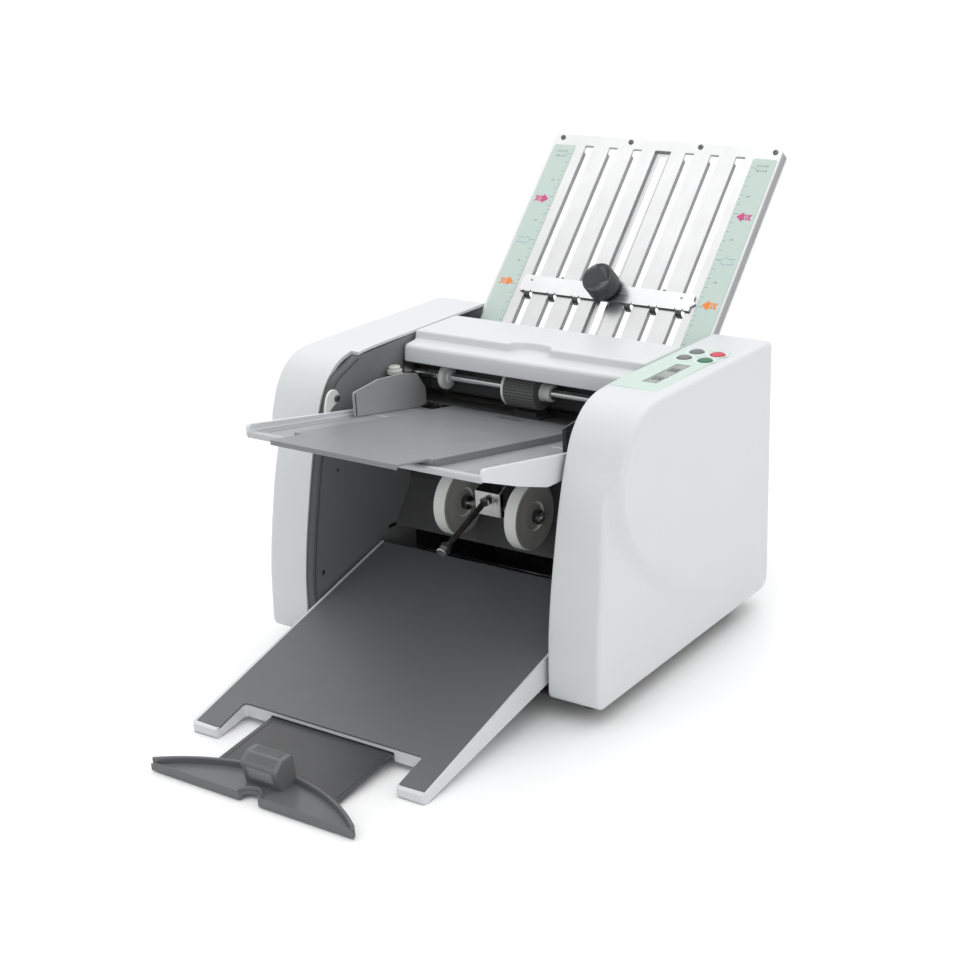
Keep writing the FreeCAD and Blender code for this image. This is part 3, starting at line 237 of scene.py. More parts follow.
def metal(name, color, rough=0.3, axis=0, fine=2600.0, depth=0.00001, var=0.10, mott=0.10, slope=None, part=1.0):
    """Brushed metal: fine streaks along the axis (0 x, 1 y, 2 z), turned with a sloping plate if slope is given."""
    a = Mat(name, color, rough, metal=part)
    s = [fine] * 3
    s[axis] = fine / 90.0
    base = a.obj if slope is None else a.turned(slope)
    mp = a.n.new("ShaderNodeMapping")
    mp.inputs["Scale"].default_value = s
    a.l.new(base, mp.inputs["Vector"])
    streak = a.noise(1.0, 3.0, 0.6, mp.outputs[0])
    a.mottle(24.0, mott)
    a.tint(a.ramp(streak, 0.35, 0.75), tuple(c * 0.86 for c in color), 0.5)
    a.rough_var(streak, var)
    a.bump(streak, 0.35, depth)
    return a


def painted(name, color, rough=0.38, peel=1500.0, depth=0.00003, spec=0.5, mott=0.02):
    """Powder-coated sheet: low orange peel, very slight patches."""
    a = Mat(name, color, rough, spec=spec)
    a.mottle(6.0, mott)
    a.rough_var(a.noise(35.0, 5.0), 0.05)
    a.bump(a.noise(peel, 2.0, 0.45), 0.28, depth)
    return a


M = {}
M["white"] = painted("cover_white", (0.645, 0.664, 0.674), 0.36).done()
M["white2"] = moulded("table_white", (0.64, 0.66, 0.672), 0.32, 2600.0, 0.00002, mott=0.02).done()
M["panel"] = moulded("panel_grey", (0.20, 0.204, 0.210), 0.48, 1500.0, 0.00006).done()
M["liner"] = moulded("tray_liner_grey", (0.125, 0.128, 0.135), 0.42, 1700.0, 0.00005).done()
M["deck"] = painted("deck_grey", (0.20, 0.205, 0.212), 0.34).done()
M["ext"] = painted("extension_grey", (0.045, 0.046, 0.049), 0.30).done()
M["stop"] = moulded("stop_grey", (0.125, 0.131, 0.136), 0.34, 1400.0, 0.00004).done()
M["dark"] = painted("black_sheet", (0.022, 0.022, 0.024), 0.42).done()
M["frame"] = metal("frame_steel", (0.42, 0.43, 0.44), 0.36, 2).done()
M["bracket"] = metal("bracket_steel", (0.50, 0.50, 0.50), 0.30, 2).done()
M["chrome"] = metal("shaft_chrome", (0.80, 0.80, 0.80), 0.17, 0, 3200.0, 0.000003, 0.04, 0.05).done()
M["rod"] = metal("rod_steel", (0.50, 0.50, 0.51), 0.25, 0).done()
M["plate"] = metal("plate_aluminium", (0.63, 0.633, 0.637), 0.30, 1, slope=-45.15).done()
M["lowplate"] = metal("low_plate_aluminium", (0.70, 0.705, 0.71), 0.32, 1, slope=40.0).done()
M["guide"] = metal("guide_zinc", (0.50, 0.505, 0.51), 0.42, 2, part=0.35).done()
M["motor"] = metal("motor_steel", (0.20, 0.20, 0.21), 0.45, 0).done()
M["bronze"] = metal("sinter_bronze", (0.17, 0.125, 0.085), 0.5, 0).done()
M["screw"] = metal("zinc_screw", (0.45, 0.45, 0.44), 0.35, 0).done()
M["rod_dark"] = metal("blackened_rod", (0.12, 0.11, 0.105), 0.30, 1).done()
M["rubber"] = moulded("black_rubber", (0.050, 0.050, 0.051), 0.72, 1300.0, 0.00008, 0.3).done()
M["foldrub"] = moulded("fold_roller_rubber", (0.075, 0.070, 0.066), 0.62, 1900.0, 0.00005, 0.3).done()
M["wheel"] = moulded("wheel_elastomer", (0.82, 0.85, 0.81), 0.60, 1500.0, 0.00006, 0.35).done()
M["collar"] = moulded("pale_acetal", (0.66, 0.71, 0.69), 0.38, 2400.0, 0.00002).done()
M["collar2"] = moulded("white_acetal", (0.80, 0.82, 0.81), 0.36, 2400.0, 0.00002).done()
M["lever"] = moulded("lever_white", (0.72, 0.73, 0.72), 0.36, 2400.0, 0.00002).done()
M["ivory"] = moulded("screw_ivory", (0.56, 0.565, 0.53), 0.36, 2400.0, 0.00002).done()
M["dkplast"] = moulded("guide_dark", (0.042, 0.043, 0.046), 0.45, 1700.0, 0.00004).done()
M["lip"] = moulded("table_lip_grey", (0.46, 0.47, 0.48), 0.32, 2400.0, 0.00002).done()
M["sheet"] = painted("feed_sheet_grey", (0.085, 0.085, 0.088), 0.36).done()
M["knob_face"] = moulded("knob_face_grey", (0.24, 0.25, 0.26), 0.42, 1600.0, 0.00003).done()
M["knob"] = moulded("knob_grey", (0.050, 0.053, 0.057), 0.42, 1600.0, 0.00004).done()
M["mint"] = moulded("mint_film", (0.52, 0.63, 0.585), 0.40, 3000.0, 0.00001, mott=0.02).done()
M["inlet"] = moulded("inlet_black", (0.012, 0.012, 0.013), 0.30, 2400.0, 0.00002).done()
M["window"] = moulded("display_grey", (0.27, 0.295, 0.28), 0.14, 2600.0, 0.000005).done()
M["plate_in"] = metal("plate_inside", (0.62, 0.625, 0.63), 0.40, 1, slope=-45.15, part=0.5).done()
# hems of the fold plate: the same aluminium drawn darker, as painted shade
M["plate_hem_painted_shade"] = metal("plate_hem_painted_shade", (0.42, 0.425, 0.43), 0.45, 1, slope=-45.15, part=0.3).done()
# side walls of the fold plate: the same aluminium drawn darker, as painted shade
M["plate_side_painted_shade"] = metal("plate_side_painted_shade", (0.36, 0.365, 0.37), 0.50, 1, slope=-45.15, part=0.2).done()
# teeth and lower edge strip of the stop blade drawn near black: painted shade and painted shadow under the blade
M["bar_tooth"] = metal("bar_tooth", (0.12, 0.122, 0.125), 0.40, 0, part=0.6).done()
M["screw_dk"] = metal("screw_oxide", (0.17, 0.17, 0.175), 0.40, 0).done()
M["bar"] = metal("stop_bar_aluminium", (0.72, 0.725, 0.73), 0.26, 0).done()
M["stop_pad"] = moulded("stop_pad", (0.215, 0.222, 0.228), 0.42, 900.0, 0.00006).done()
M["gear"] = moulded("acetal_gear", (0.60, 0.60, 0.57), 0.42, 2400.0, 0.00002).done()
M["hub"] = metal("dark_hub", (0.16, 0.15, 0.145), 0.34, 0).done()
M["tyre"] = moulded("feed_tyre_rubber", (0.105, 0.105, 0.106), 0.66, 1300.0, 0.00006, 0.3).done()
# darker grey for the flat sides of the stacker tyres: painted shade
M["wheel_side_painted_shade"] = moulded("wheel_side_painted_shade", (0.36, 0.365, 0.35), 0.58, 1300.0, 0.00006, 0.35).done()
M["tabtop"] = painted("table_running_face", (0.31, 0.32, 0.335), 0.30).done()
# the panel's front flange, a darker grey than the panel itself: painted shade for that edge
M["panel_lip"] = moulded("panel_lip_grey", (0.072, 0.074, 0.076), 0.42, 1500.0, 0.00005).done()
M["mint2"] = moulded("overlay_mint", (0.53, 0.65, 0.60), 0.34, 3000.0, 0.00001, mott=0.02).done()
M["mint_light"] = moulded("overlay_halo", (0.66, 0.74, 0.71), 0.34, 3000.0, 0.00001, mott=0.02).done()
M["lcd_line"] = moulded("lcd_frame", (0.13, 0.14, 0.135), 0.3, 3000.0, 0.000003).done()
M["lcd"] = moulded("lcd_segments", (0.018, 0.02, 0.022), 0.3, 3000.0, 0.000003).done()
M["ink_white"] = moulded("ink_white", (0.75, 0.75, 0.75), 0.5, 2600.0, 0.000003).done()
M["ink"] = moulded("ink_grey", (0.10, 0.12, 0.13), 0.5, 2600.0, 0.000003).done()
M["ink_blue"] = moulded("ink_blue", (0.16, 0.36, 0.46), 0.5, 2600.0, 0.000003).done()
M["ink_mag"] = moulded("ink_magenta", (0.58, 0.07, 0.24), 0.5, 2600.0, 0.000003).done()
M["ink_orange"] = moulded("ink_orange", (0.85, 0.25, 0.05), 0.5, 2600.0, 0.000003).done()
M["board"] = moulded("board_green", (0.01, 0.09, 0.035), 0.35).done()
M["btn_grey"] = moulded("button_grey", (0.135, 0.14, 0.145), 0.34, 2400.0, 0.00002).done()
M["btn_red"] = moulded("button_red", (0.56, 0.04, 0.075), 0.34, 2400.0, 0.00002).done()
M["btn_green"] = moulded("button_green", (0.018, 0.14, 0.070), 0.34, 2400.0, 0.00002).done()

NODE_MAT = {
    "side_cover_left": "white", "side_cover_right": "white", "top_cover": "white", "feed_table": "white2", "delivery_tray": "white2",
    "inner_panel_left": "panel", "inner_panel_right": "panel", "tray_surface": "liner", "table_plate": "deck", "tray_extension": "ext",
    "paper_stop": "stop", "base_plate": "dark", "rear_panel": "dark", "paper_guides": "sheet", "plate_carriers": "dark",
    "side_frame_left": "frame", "side_frame_right": "frame", "stacker_bracket": "bracket", "rubber_feet": "rubber", "feed_roller": "rubber",
    "drive_belt": "rubber", "stacker_belt": "rubber", "fold_roller_1": "foldrub", "fold_roller_2": "foldrub", "fold_roller_3": "foldrub",
    "fold_roller_4": "foldrub", "feed_shaft": "chrome", "stacker_wheel_shaft": "chrome", "stacker_drive_shaft": "chrome", "tie_rods": "rod",
    "motor_pulley": "rod", "stacker_rod": "rod_dark", "bearings": "bronze", "feed_collars": "collar", "release_lever": "lever",
    "stacker_wheels": "wheel", "guide_screw_left": "ivory", "guide_screw_right": "ivory", "side_guide_left": "guide",
    "side_guide_right": "dkplast", "paper_separator": "dkplast", "upper_fold_plate": "plate", "upper_stop_bar": "plate",
    "lower_fold_plate": "lowplate", "lower_stop_bar": "lowplate", "upper_stop_knob": "knob", "lower_stop_knob": "knob",
    "scale_strips": "mint", "control_overlay": "mint", "plate_screws": "screw", "panel_screws": "screw", "motor": "motor",
    "power_inlet": "inlet", "power_switch": "inlet", "display_window": "window", "circuit_board": "board", "button_up": "btn_grey",
    "button_down": "btn_grey", "button_stop": "btn_red", "button_start": "btn_green",
}
for nm, ob in NODES.items():
    ob.data.materials.clear()
    ob.data.materials.append(M[NODE_MAT[nm]])


# ------------------------------------------------------------------ mesh helpers
BODY = {n: b for b, ns in frame["record"]["behaviour"]["bodies"].items() for n in ns}
COS_U, SIN_U = math.cos(math.radians(45.15)), math.sin(math.radians(45.15))
COS_L, SIN_L = math.cos(math.radians(40.0)), math.sin(math.radians(40.0))


def to_yz(u, v, w):
    return mm(w, u, v)


def to_xy(u, v, w):
    return mm(u, v, w)


def to_xz(u, v, w):
    return mm(u, w, v)


def to_up(u, v, w):
    """Upper fold plate: across, down from the top edge, out of the face."""
    return mm(u, 410.0 - v * COS_U - w * SIN_U, 364.0 - v * SIN_U + w * COS_U)


def to_low(u, v, w):
    """Lower fold plate: across, down from its mouth, out of the face."""
    return mm(u, 228.5 + v * COS_L + w * SIN_L, 130.5 - v * SIN_L + w * COS_L)


def finish_mesh(name, me, smooth=True, sharp=None):
    ob = bpy.data.objects.new(name, me)
    bpy.context.scene.collection.objects.link(ob)
    bm = bmesh.new()
    bm.from_mesh(me)
    bmesh.ops.remove_doubles(bm, verts=bm.verts, dist=1e-7)
    bmesh.ops.recalc_face_normals(bm, faces=bm.faces)
    bm.to_mesh(me)
    bm.free()
    me.polygons.foreach_set("use_smooth", [smooth] * len(me.polygons))
    if smooth and sharp:
        me.set_sharp_from_angle(angle=math.radians(sharp))
    me.update()
    return ob


def link(name, verts, faces, mat, smooth=True, sharp=None):
    me = bpy.data.meshes.new(name)
    me.from_pydata([tuple(v) for v in verts], [], faces)
    me.validate()
    me.materials.append(mat)
    return finish_mesh(name, me, smooth, sharp)


def bevel(ob, width, seg=3, angle=32.0):
    m = ob.modifiers.new("edge", "BEVEL")
    m.width, m.segments, m.limit_method, m.angle_limit = width * 0.001, seg, "ANGLE", math.radians(angle)
    m.harden_normals = True
    m.use_clamp_overlap = True
    return ob


def apply_mods(ob):
    """Make the piece's modifiers part of its mesh."""
    dg = bpy.context.evaluated_depsgraph_get()
    me = bpy.data.meshes.new_from_object(ob.evaluated_get(dg))
    old = ob.data
    ob.modifiers.clear()
    ob.data = me
    bpy.data.meshes.remove(old)
    return ob


def drop(ob):
    me = ob.data
    bpy.data.objects.remove(ob)
    bpy.data.meshes.remove(me)


def boolean(ob, cutters, op="DIFFERENCE"):
    for c in cutters:
        m = ob.modifiers.new("cut", "BOOLEAN")
        m.object, m.operation, m.solver = c, op, "EXACT"
    apply_mods(ob)
    for c in cutters:
        drop(c)
    return ob


def stand(ob, node, *more):
    """The piece rides on the node's body and stands for it, with the node's own mesh hidden."""
    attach(ob, BODY[node])
    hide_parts(node, *more)
    return ob


def extra(ob, node):
    """A further piece beside the one that stands for the node."""
    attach(ob, BODY[node])
    return ob


def join(name, obs, flat=True):
    """One piece from several: their meshes in one object, materials kept by index."""
    verts, faces, mats, idx, smooth = [], [], [], [], []
    for o in obs:
        if o.modifiers:
            apply_mods(o)
        me = o.data
        lut = []
        for m in me.materials:
            if m not in mats:
                mats.append(m)
            lut.append(mats.index(m))
        k = len(verts)
        verts += [tuple(v.co) for v in me.vertices]
        for p in me.polygons:
            faces.append([k + i for i in p.vertices])
            idx.append(lut[p.material_index] if lut else 0)
            smooth.append(p.use_smooth)
    me = bpy.data.meshes.new(name)
    me.from_pydata(verts, [], faces)
    for m in mats:
        me.materials.append(m)
    me.polygons.foreach_set("material_index", idx)
    me.polygons.foreach_set("use_smooth", smooth)
    me.set_sharp_from_angle(angle=math.radians(34.0))
    me.update()
    ob = bpy.data.objects.new(name, me)
    bpy.context.scene.collection.objects.link(ob)
    for o in obs:
        drop(o)
    if flat:
        # the broad faces keep their own direction up to their rounded edges
        w = ob.modifiers.new("normals", "WEIGHTED_NORMAL")
        w.mode, w.weight, w.keep_sharp = "FACE_AREA", 50, True
        apply_mods(ob)
    return ob


def curve(pts, n=8):
    """Smooth curve through points, n steps between neighbours."""
    p = [pts[0]] + list(pts) + [pts[-1]]
    out = []
    for i in range(1, len(p) - 2):
        for k in range(n):
            t = k / n
            out.append(tuple(0.5 * ((2 * p[i][j]) + (p[i + 1][j] - p[i - 1][j]) * t + (2 * p[i - 1][j] - 5 * p[i][j] + 4 * p[i + 1][j] - p[i + 2][j]) * t * t
                                    + (3 * p[i][j] - p[i - 1][j] - 3 * p[i + 1][j] + p[i + 2][j]) * t ** 3) for j in range(len(pts[0]))))
    return out + [tuple(pts[-1])]


def rounded(pts, r, n=5):
    """Polygon with its corners rounded: r is one radius or a list, 0 keeps a corner sharp."""
    out = []
    m = len(pts)
    for i in range(m):
        ri = r[i] if isinstance(r, (list, tuple)) else r
        p, a, b = Vector(pts[i]), Vector(pts[i - 1]), Vector(pts[(i + 1) % m])
        u, v = (a - p), (b - p)
        lu, lv = u.length, v.length
        if ri <= 0 or lu < 1e-9 or lv < 1e-9:
            out.append(tuple(p))
            continue
        u, v = u / lu, v / lv
        half_a = 0.5 * u.angle(v)
        if half_a > math.radians(89.0):
            out.append(tuple(p))
            continue
        t = min(ri / math.tan(half_a), 0.48 * lu, 0.48 * lv)
        rr = t * math.tan(half_a)
        c = p + (u + v).normalized() * (rr / math.sin(half_a))
        s, e = p + u * t - c, p + v * t - c
        ang = s.angle(e)
        for k in range(n + 1):
            w = (s * math.sin((1 - k / n) * ang) + e * math.sin(k / n * ang)) / math.sin(ang) if ang > 1e-6 else s
            out.append(tuple(c + w))
    return out


def rect(x0, x1, y0, y1, r=0.0, n=4):
    p = [(x0, y0), (x1, y0), (x1, y1), (x0, y1)]
    return rounded(p, r, n) if r > 0 else p


def ring_pts(cx, cy, r, n=32, a0=0.0):
    return [(cx + r * math.cos(a0 + 2 * math.pi * i / n), cy + r * math.sin(a0 + 2 * math.pi * i / n)) for i in range(n)]


def resample(pts, n):
    """n points at even steps along a closed polyline."""
    p = np.array(list(pts) + [pts[0]], float)
    d = np.r_[0, np.cumsum(np.hypot(*np.diff(p, axis=0).T))]
    t = np.linspace(0, d[-1], n, endpoint=False)
    return np.c_[np.interp(t, d, p[:, 0]), np.interp(t, d, p[:, 1])]


def area2(p):
    x, y = p[:, 0], p[:, 1]
    return 0.5 * float(np.sum(x * np.roll(y, -1) - np.roll(x, -1) * y))


def inward(p):
    """Unit normals pointing into a closed outline."""
    t = np.roll(p, -1, 0) - np.roll(p, 1, 0)
    t /= np.maximum(np.hypot(t[:, 0], t[:, 1]), 1e-9)[:, None]
    n = np.c_[-t[:, 1], t[:, 0]]
    return n if area2(p) > 0 else -n


def inset(pts, d):
    p = np.array(pts, float)
    return [tuple(q) for q in p + inward(p) * d]


def carve(flat, loops):
    """Triangles of the first loop without the others, which lie inside it."""
    turn = []
    for lp in loops:
        a = sum(flat[lp[i - 1]][0] * flat[lp[i]][1] - flat[lp[i]][0] * flat[lp[i - 1]][1] for i in range(len(lp)))
        turn.append(list(lp) if a > 0 else list(lp)[::-1])
    r = delaunay_2d_cdt([Vector(p) for p in flat], [], turn, 1, 1e-7)
    return [tuple(v) for v in r[0]], [list(f) for f, o in zip(r[2], r[5]) if 0 in o and not any(k > 0 for k in o)]


def ring_decal(name, outer, inner, to, w, mat):
    """Flat printed ring between two outlines."""
    p, fs = carve(list(outer) + list(inner), [list(range(len(outer))), list(range(len(outer), len(outer) + len(inner)))])
    me = bpy.data.meshes.new(name)
    me.from_pydata([to(q[0], q[1], w) for q in p], [], fs)
    me.materials.append(mat)
    ob = bpy.data.objects.new(name, me)
    bpy.context.scene.collection.objects.link(ob)
    return ob


def prism(name, pts, w0, w1, to, mat, holes=(), bev=0.0, seg=2, sharp=30.0, angle=32.0):
    """Outline with holes in one plane, carried from w0 to w1. A w may be a function of (u, v)."""
    f0 = w0 if callable(w0) else (lambda u, v: w0)
    f1 = w1 if callable(w1) else (lambda u, v: w1)
    if holes:
        loops = [list(pts)] + [list(h) for h in holes]
        flat, fs2 = [], []
        for lp in loops:
            fs2.append(list(range(len(flat), len(flat) + len(lp))))
            flat += lp
        p2, faces = carve(flat, fs2)
    else:
        p2, faces = [tuple(p) for p in pts], [list(range(len(pts)))]
    n = len(p2)
    seen = {}
    for f in faces:
        for a, b in zip(f, f[1:] + f[:1]):
            seen[(a, b)] = 1
    walls = [(a, b) for a, b in seen if (b, a) not in seen]
    vs = [to(u, v, f0(u, v)) for u, v in p2] + [to(u, v, f1(u, v)) for u, v in p2]
    fs = [f[::-1] for f in faces] + [[i + n for i in f] for f in faces] + [[a, b, b + n, a + n] for a, b in walls]
    ob = link(name, vs, fs, mat, True, sharp)
    return bevel(ob, bev, seg, angle) if bev else ob


def box(name, x0, x1, y0, y1, z0, z1, mat, bev=0.0, seg=2, to=None):
    if to is None:
        return prism(name, [(y0, z0), (y1, z0), (y1, z1), (y0, z1)], x0, x1, to_yz, mat, (), bev, seg)
    return prism(name, [(x0, y0), (x1, y0), (x1, y1), (x0, y1)], z0, z1, to, mat, (), bev, seg)


def lathe(name, prof, base, axis, mat, n=64, sharp=32.0, flute=None, start=0.0):
    """Turned piece: (distance along the axis, radius) pairs in mm from base. flute(angle, along, radius) gives the radius used."""
    ax = Vector(axis).normalized()
    u = Vector((0, 0, 1)) if abs(ax.z) < 0.7 else Vector((1, 0, 0))
    u = (u - ax * u.dot(ax)).normalized()
    v = ax.cross(u)
    vs, fs = [], []
    for a, r in prof:
        for i in range(n):
            t = start + 2 * math.pi * i / n
            rr = flute(t, a, r) if flute else r
            vs.append(Vector(base) + (ax * a + (u * math.cos(t) + v * math.sin(t)) * rr) * 0.001)
    for k in range(len(prof) - 1):
        for i in range(n):
            fs.append((k * n + i, k * n + (i + 1) % n, (k + 1) * n + (i + 1) % n, (k + 1) * n + i))
    if prof[0][1] > 1e-6:
        fs.append(tuple(range(n))[::-1])
    if prof[-1][1] > 1e-6:
        k = (len(prof) - 1) * n
        fs.append(tuple(range(k, k + n)))
    return link(name, vs, fs, mat, True, sharp)


def turned(prof, r=0.4, n=3, closed=False):
    """Profile (along, radius) with its corners rounded; radius zero ends stay."""
    m = len(prof)
    rad = [0.0 if i in (0, m - 1) and not closed else (r[i] if isinstance(r, (list, tuple)) else r) for i in range(m)]
    return rounded(prof, rad, n)


def screw_head(name, base, axis, r, h, mat, n=32, cross=True):
    """Low pan head with a cross recess, standing on base."""
    ax = Vector(axis).normalized()
    u = Vector((0, 0, 1)) if abs(ax.z) < 0.7 else Vector((1, 0, 0))
    u = (u - ax * u.dot(ax)).normalized()
    v = ax.cross(u)
    head = lathe(name, [(0, r), (h * 0.45, r), (h * 0.8, r * 0.9), (h, r * 0.62), (h, 0.0)], base, axis, mat, n)
    if cross:
        cs = []
        for a, b in ((u, v), (v, u)):
            vs = []
            for d in (0.35 * h, 1.6 * h):
                for sa, sb in ((-1, -1), (1, -1), (1, 1), (-1, 1)):
                    vs.append(Vector(base) + (ax * d + a * (sa * r * 0.48) + b * (sb * r * 0.11)) * 0.001)
            cs.append(link(name + "_c", vs, [(0, 3, 2, 1), (4, 5, 6, 7), (0, 1, 5, 4), (1, 2, 6, 5), (2, 3, 7, 6), (3, 0, 4, 7)], mat))
        boolean(head, cs)
        head.data.polygons.foreach_set("use_smooth", [True] * len(head.data.polygons))
        head.data.set_sharp_from_angle(angle=math.radians(30))
    return head


def gear_mesh(name, centre, x0, teeth, phase, width, mat):
    module = 26.3 / 26.0
    pr = module * teeth / 2.0
    pts = []
    for i in range(teeth):
        a = math.radians(phase) + i * 2 * math.pi / teeth
        for r, k in ((pr - 1.05 * module, -0.25), (pr + 0.75 * module, -0.105), (pr + 0.75 * module, 0.105), (pr - 1.05 * module, 0.25)):
            b = a + k * 2 * math.pi / teeth
            pts.append((centre[0] + r * math.cos(b), centre[1] + r * math.sin(b)))
    holes = []
    if teeth > 40:
        holes = [ring_pts(centre[0] + pr * 0.58 * math.cos(t), centre[1] + pr * 0.58 * math.sin(t), pr * 0.16, 20) for t in [math.radians(60 * k) for k in range(6)]]
    return prism(name, pts, x0, x0 + width, to_yz, mat, holes)


def path_tube(name, pts, r, mat, n=12, closed=False):
    """Round bar along a path of fit-mm points."""
    p = [Vector(q) for q in pts]
    m = len(p)
    vs, fs = [], []
    ref = Vector((0.3, 0.2, 1.0)).normalized()
    for i in range(m):
        t = (p[(i + 1) % m] - p[i - 1]) if closed or 0 < i < m - 1 else (p[1] - p[0] if i == 0 else p[-1] - p[-2])
        t.normalize()
        u = (ref - t * ref.dot(t)).normalized()
        v = t.cross(u)
        for k in range(n):
            a = 2 * math.pi * k / n
            q = p[i] + (u * math.cos(a) + v * math.sin(a)) * r
            vs.append(mm(*q))
    for i in range(m if closed else m - 1):
        j = (i + 1) % m
        for k in range(n):
            l = (k + 1) % n
            fs.append((i * n + k, i * n + l, j * n + l, j * n + k))
    if not closed:
        fs += [tuple(range(n))[::-1], tuple(range((m - 1) * n, m * n))]
    return link(name, vs, fs, mat, True, 40)


def wall_along(name, pts, height, thick, to, mat, round_top=0.6, seg=3):
    """A standing rib: a path of (u, v) carried from w0 to w1 with thickness, top edges rounded. height = (w0, w1)."""
    p = np.array(pts, float)
    t = np.gradient(p, axis=0)
    t /= np.maximum(np.hypot(t[:, 0], t[:, 1]), 1e-9)[:, None]
    nrm = np.c_[-t[:, 1], t[:, 0]]
    w0, w1 = height
    h = thick / 2.0
    rt = min(round_top, h * 0.98)
    sec = [(-h, w0)]
    for k in range(seg + 1):
        a = math.pi / 2 * k / seg
        sec.append((-h + rt - rt * math.cos(a), w1 - rt + rt * math.sin(a)))
    for k in range(seg + 1):
        a = math.pi / 2 * (1 - k / seg)
        sec.append((h - rt + rt * math.cos(a), w1 - rt + rt * math.sin(a)))
    sec.append((h, w0))
    m = len(sec)
    vs, fs = [], []
    for i in range(len(p)):
        for o, w in sec:
            q = p[i] + nrm[i] * o
            vs.append(to(q[0], q[1], w))
    for i in range(len(p) - 1):
        for k in range(m):
            l = (k + 1) % m
            fs.append((i * m + k, i * m + l, (i + 1) * m + l, (i + 1) * m + k))
    fs += [tuple(range(m))[::-1], tuple(range((len(p) - 1) * m, len(p) * m))]
    return link(name, vs, fs, mat, True, 40)


def lettering(name, text, size, to, u, v, w, mat, angle=0.0, depth=0.04, align="CENTER"):
    """Generic numerals as thin raised print: text at (u, v) on a plane, size in mm."""
    c = bpy.data.curves.new(name, "FONT")
    c.body, c.size, c.align_x, c.align_y = text, size, align, "CENTER"
    c.resolution_u = 3
    o = bpy.data.objects.new(name, c)
    bpy.context.scene.collection.objects.link(o)
    dg = bpy.context.evaluated_depsgraph_get()
    me0 = bpy.data.meshes.new_from_object(o.evaluated_get(dg))
    ca, sa = math.cos(math.radians(angle)), math.sin(math.radians(angle))
    vs = [to(u + p.co.x * ca - p.co.y * sa, v + p.co.x * sa + p.co.y * ca, w) for p in me0.vertices]
    fs = [tuple(p.vertices) for p in me0.polygons]
    bpy.data.objects.remove(o)
    bpy.data.curves.remove(c)
    bpy.data.meshes.remove(me0)
    me = bpy.data.meshes.new(name)
    me.from_pydata(vs, [], fs)
    me.materials.append(mat)
    ob = bpy.data.objects.new(name, me)
    bpy.context.scene.collection.objects.link(ob)
    return ob


def decal(name, pts, to, w, mat):
    """Flat printed shape on a plane."""
    me = bpy.data.meshes.new(name)
    me.from_pydata([to(u, v, w) for u, v in pts], [], [tuple(range(len(pts)))])
    me.materials.append(mat)
    ob = bpy.data.objects.new(name, me)
    bpy.context.scene.collection.objects.link(ob)
    return ob


# ------------------------------------------------------------------ side covers
FRONT = [(1.4, 14.5), (3.9, 49.0), (7.6, 74.0), (11.8, 95.0), (16.8, 116.0), (24.7, 147.0), (33.5, 175.0),
         (40.5, 193.0), (48.0, 208.0), (58.8, 220.2), (71.0, 228.4), (85.5, 232.8), (102.0, 234.0), (130.0, 233.7), (160.0, 232.8)]
BUTTONS = [(139.6, 216.9), (138.8, 197.0), (159.2, 216.9), (158.6, 196.8)]
DISC = curve([(300, 21), (250, 24), (220, 27), (190, 33), (165, 42), (145, 52.5), (120, 67.5), (99.6, 83), (76, 101), (57.5, 118.5), (45, 135.2), (36.8, 152),
              (33.6, 170), (33.0, 187)], 5) + [(24, 199), (10, 215), (10, 260), (300, 260)]
DEPTH = 281.0


def cover_outline():
    low = rounded([(40.0, 0.0), (0.4, 0.0), (1.4, 14.5), (3.9, 49.0)], [0, 8.0, 0, 0], 8)[:-2]
    top = rounded([(160.0, 232.8), (DEPTH, 229.1), (DEPTH, 0.0), (200.0, 0.0)], [0, 5.5, 11.0, 0], 8)
    return low + curve(FRONT, 10)[:-1] + top


def sdf(p, poly):
    """Signed distance to a closed polygon, negative inside."""
    a = np.array(poly, float)
    b = np.roll(a, -1, 0)
    e = b - a
    best = np.full(len(p), 1e9)
    inside = np.zeros(len(p), bool)
    for i in range(len(a)):
        w = p - a[i]
        t = np.clip((w @ e[i]) / max(e[i] @ e[i], 1e-12), 0, 1)
        d = w - t[:, None] * e[i]
        best = np.minimum(best, np.einsum("ij,ij->i", d, d))
        c = ((a[i, 1] <= p[:, 1]) & (b[i, 1] > p[:, 1])) | ((a[i, 1] > p[:, 1]) & (b[i, 1] <= p[:, 1]))
        if e[i, 1] != 0:
            x = a[i, 0] + (p[:, 1] - a[i, 1]) / e[i, 1] * e[i, 0]
            inside ^= c & (p[:, 0] < x)
    s = np.sqrt(best)
    return np.where(inside, -s, s)


def side_x(p):
    """How far out the side wall stands at (y, z): a flat wedge below, and a raised field that leans out towards the top."""
    y, z = p[:, 0], p[:, 1]
    s = sdf(p, DISC)
    field = 171.2 + 0.0365 * z + 0.013 * (150.0 - y) * z / 232.0
    low = np.interp(z, [0, 60, 95, 128, 162, 240], [171.0, 171.0, 170.7, 169.8, 167.7, 164.5])
    low = np.minimum(low, field - 0.4)
    w = 9.5 + np.clip((140.0 - z) * 0.17, 0, 30)
    t = np.clip((s + 1.5) / w, 0, 1)
    f = 1 - t * t * (3 - 2 * t)
    return low + (field - low) * f


def flare(B):
    """How much further forward the outline stands at the outer edge than at the inner one."""
    y, z = B[:, 0], B[:, 1]
    d = np.interp(z, [0, 10, 60, 95, 128, 162, 190, 236], [0, 1.0, 1.4, 1.9, 3.6, 5.0, 5.0, 5.0])
    d = d * np.clip(np.interp(y, [0, 58, 72, 90, 112], [1, 1, 0.72, 0.22, 0]), 0, 1)
    d = np.where((y < 60) & (z < 3), 0, d)
    k = np.ones(7) / 7.0
    return np.convolve(np.r_[d[-3:], d, d[:3]], k, "valid")


def edge_radius(B):
    """Rounding of the outer edge: crisp along the lower front, a little softer round the raised field."""
    z, y = B[:, 1], B[:, 0]
    r = np.interp(z, [0, 8, 90, 160, 190, 240], [3.4, 3.8, 3.8, 4.2, 4.8, 4.8])
    r = np.where(y > 270, 5.5, r)
    k = np.ones(9) / 9.0
    return np.convolve(np.r_[r[-4:], r, r[:4]], k, "valid")


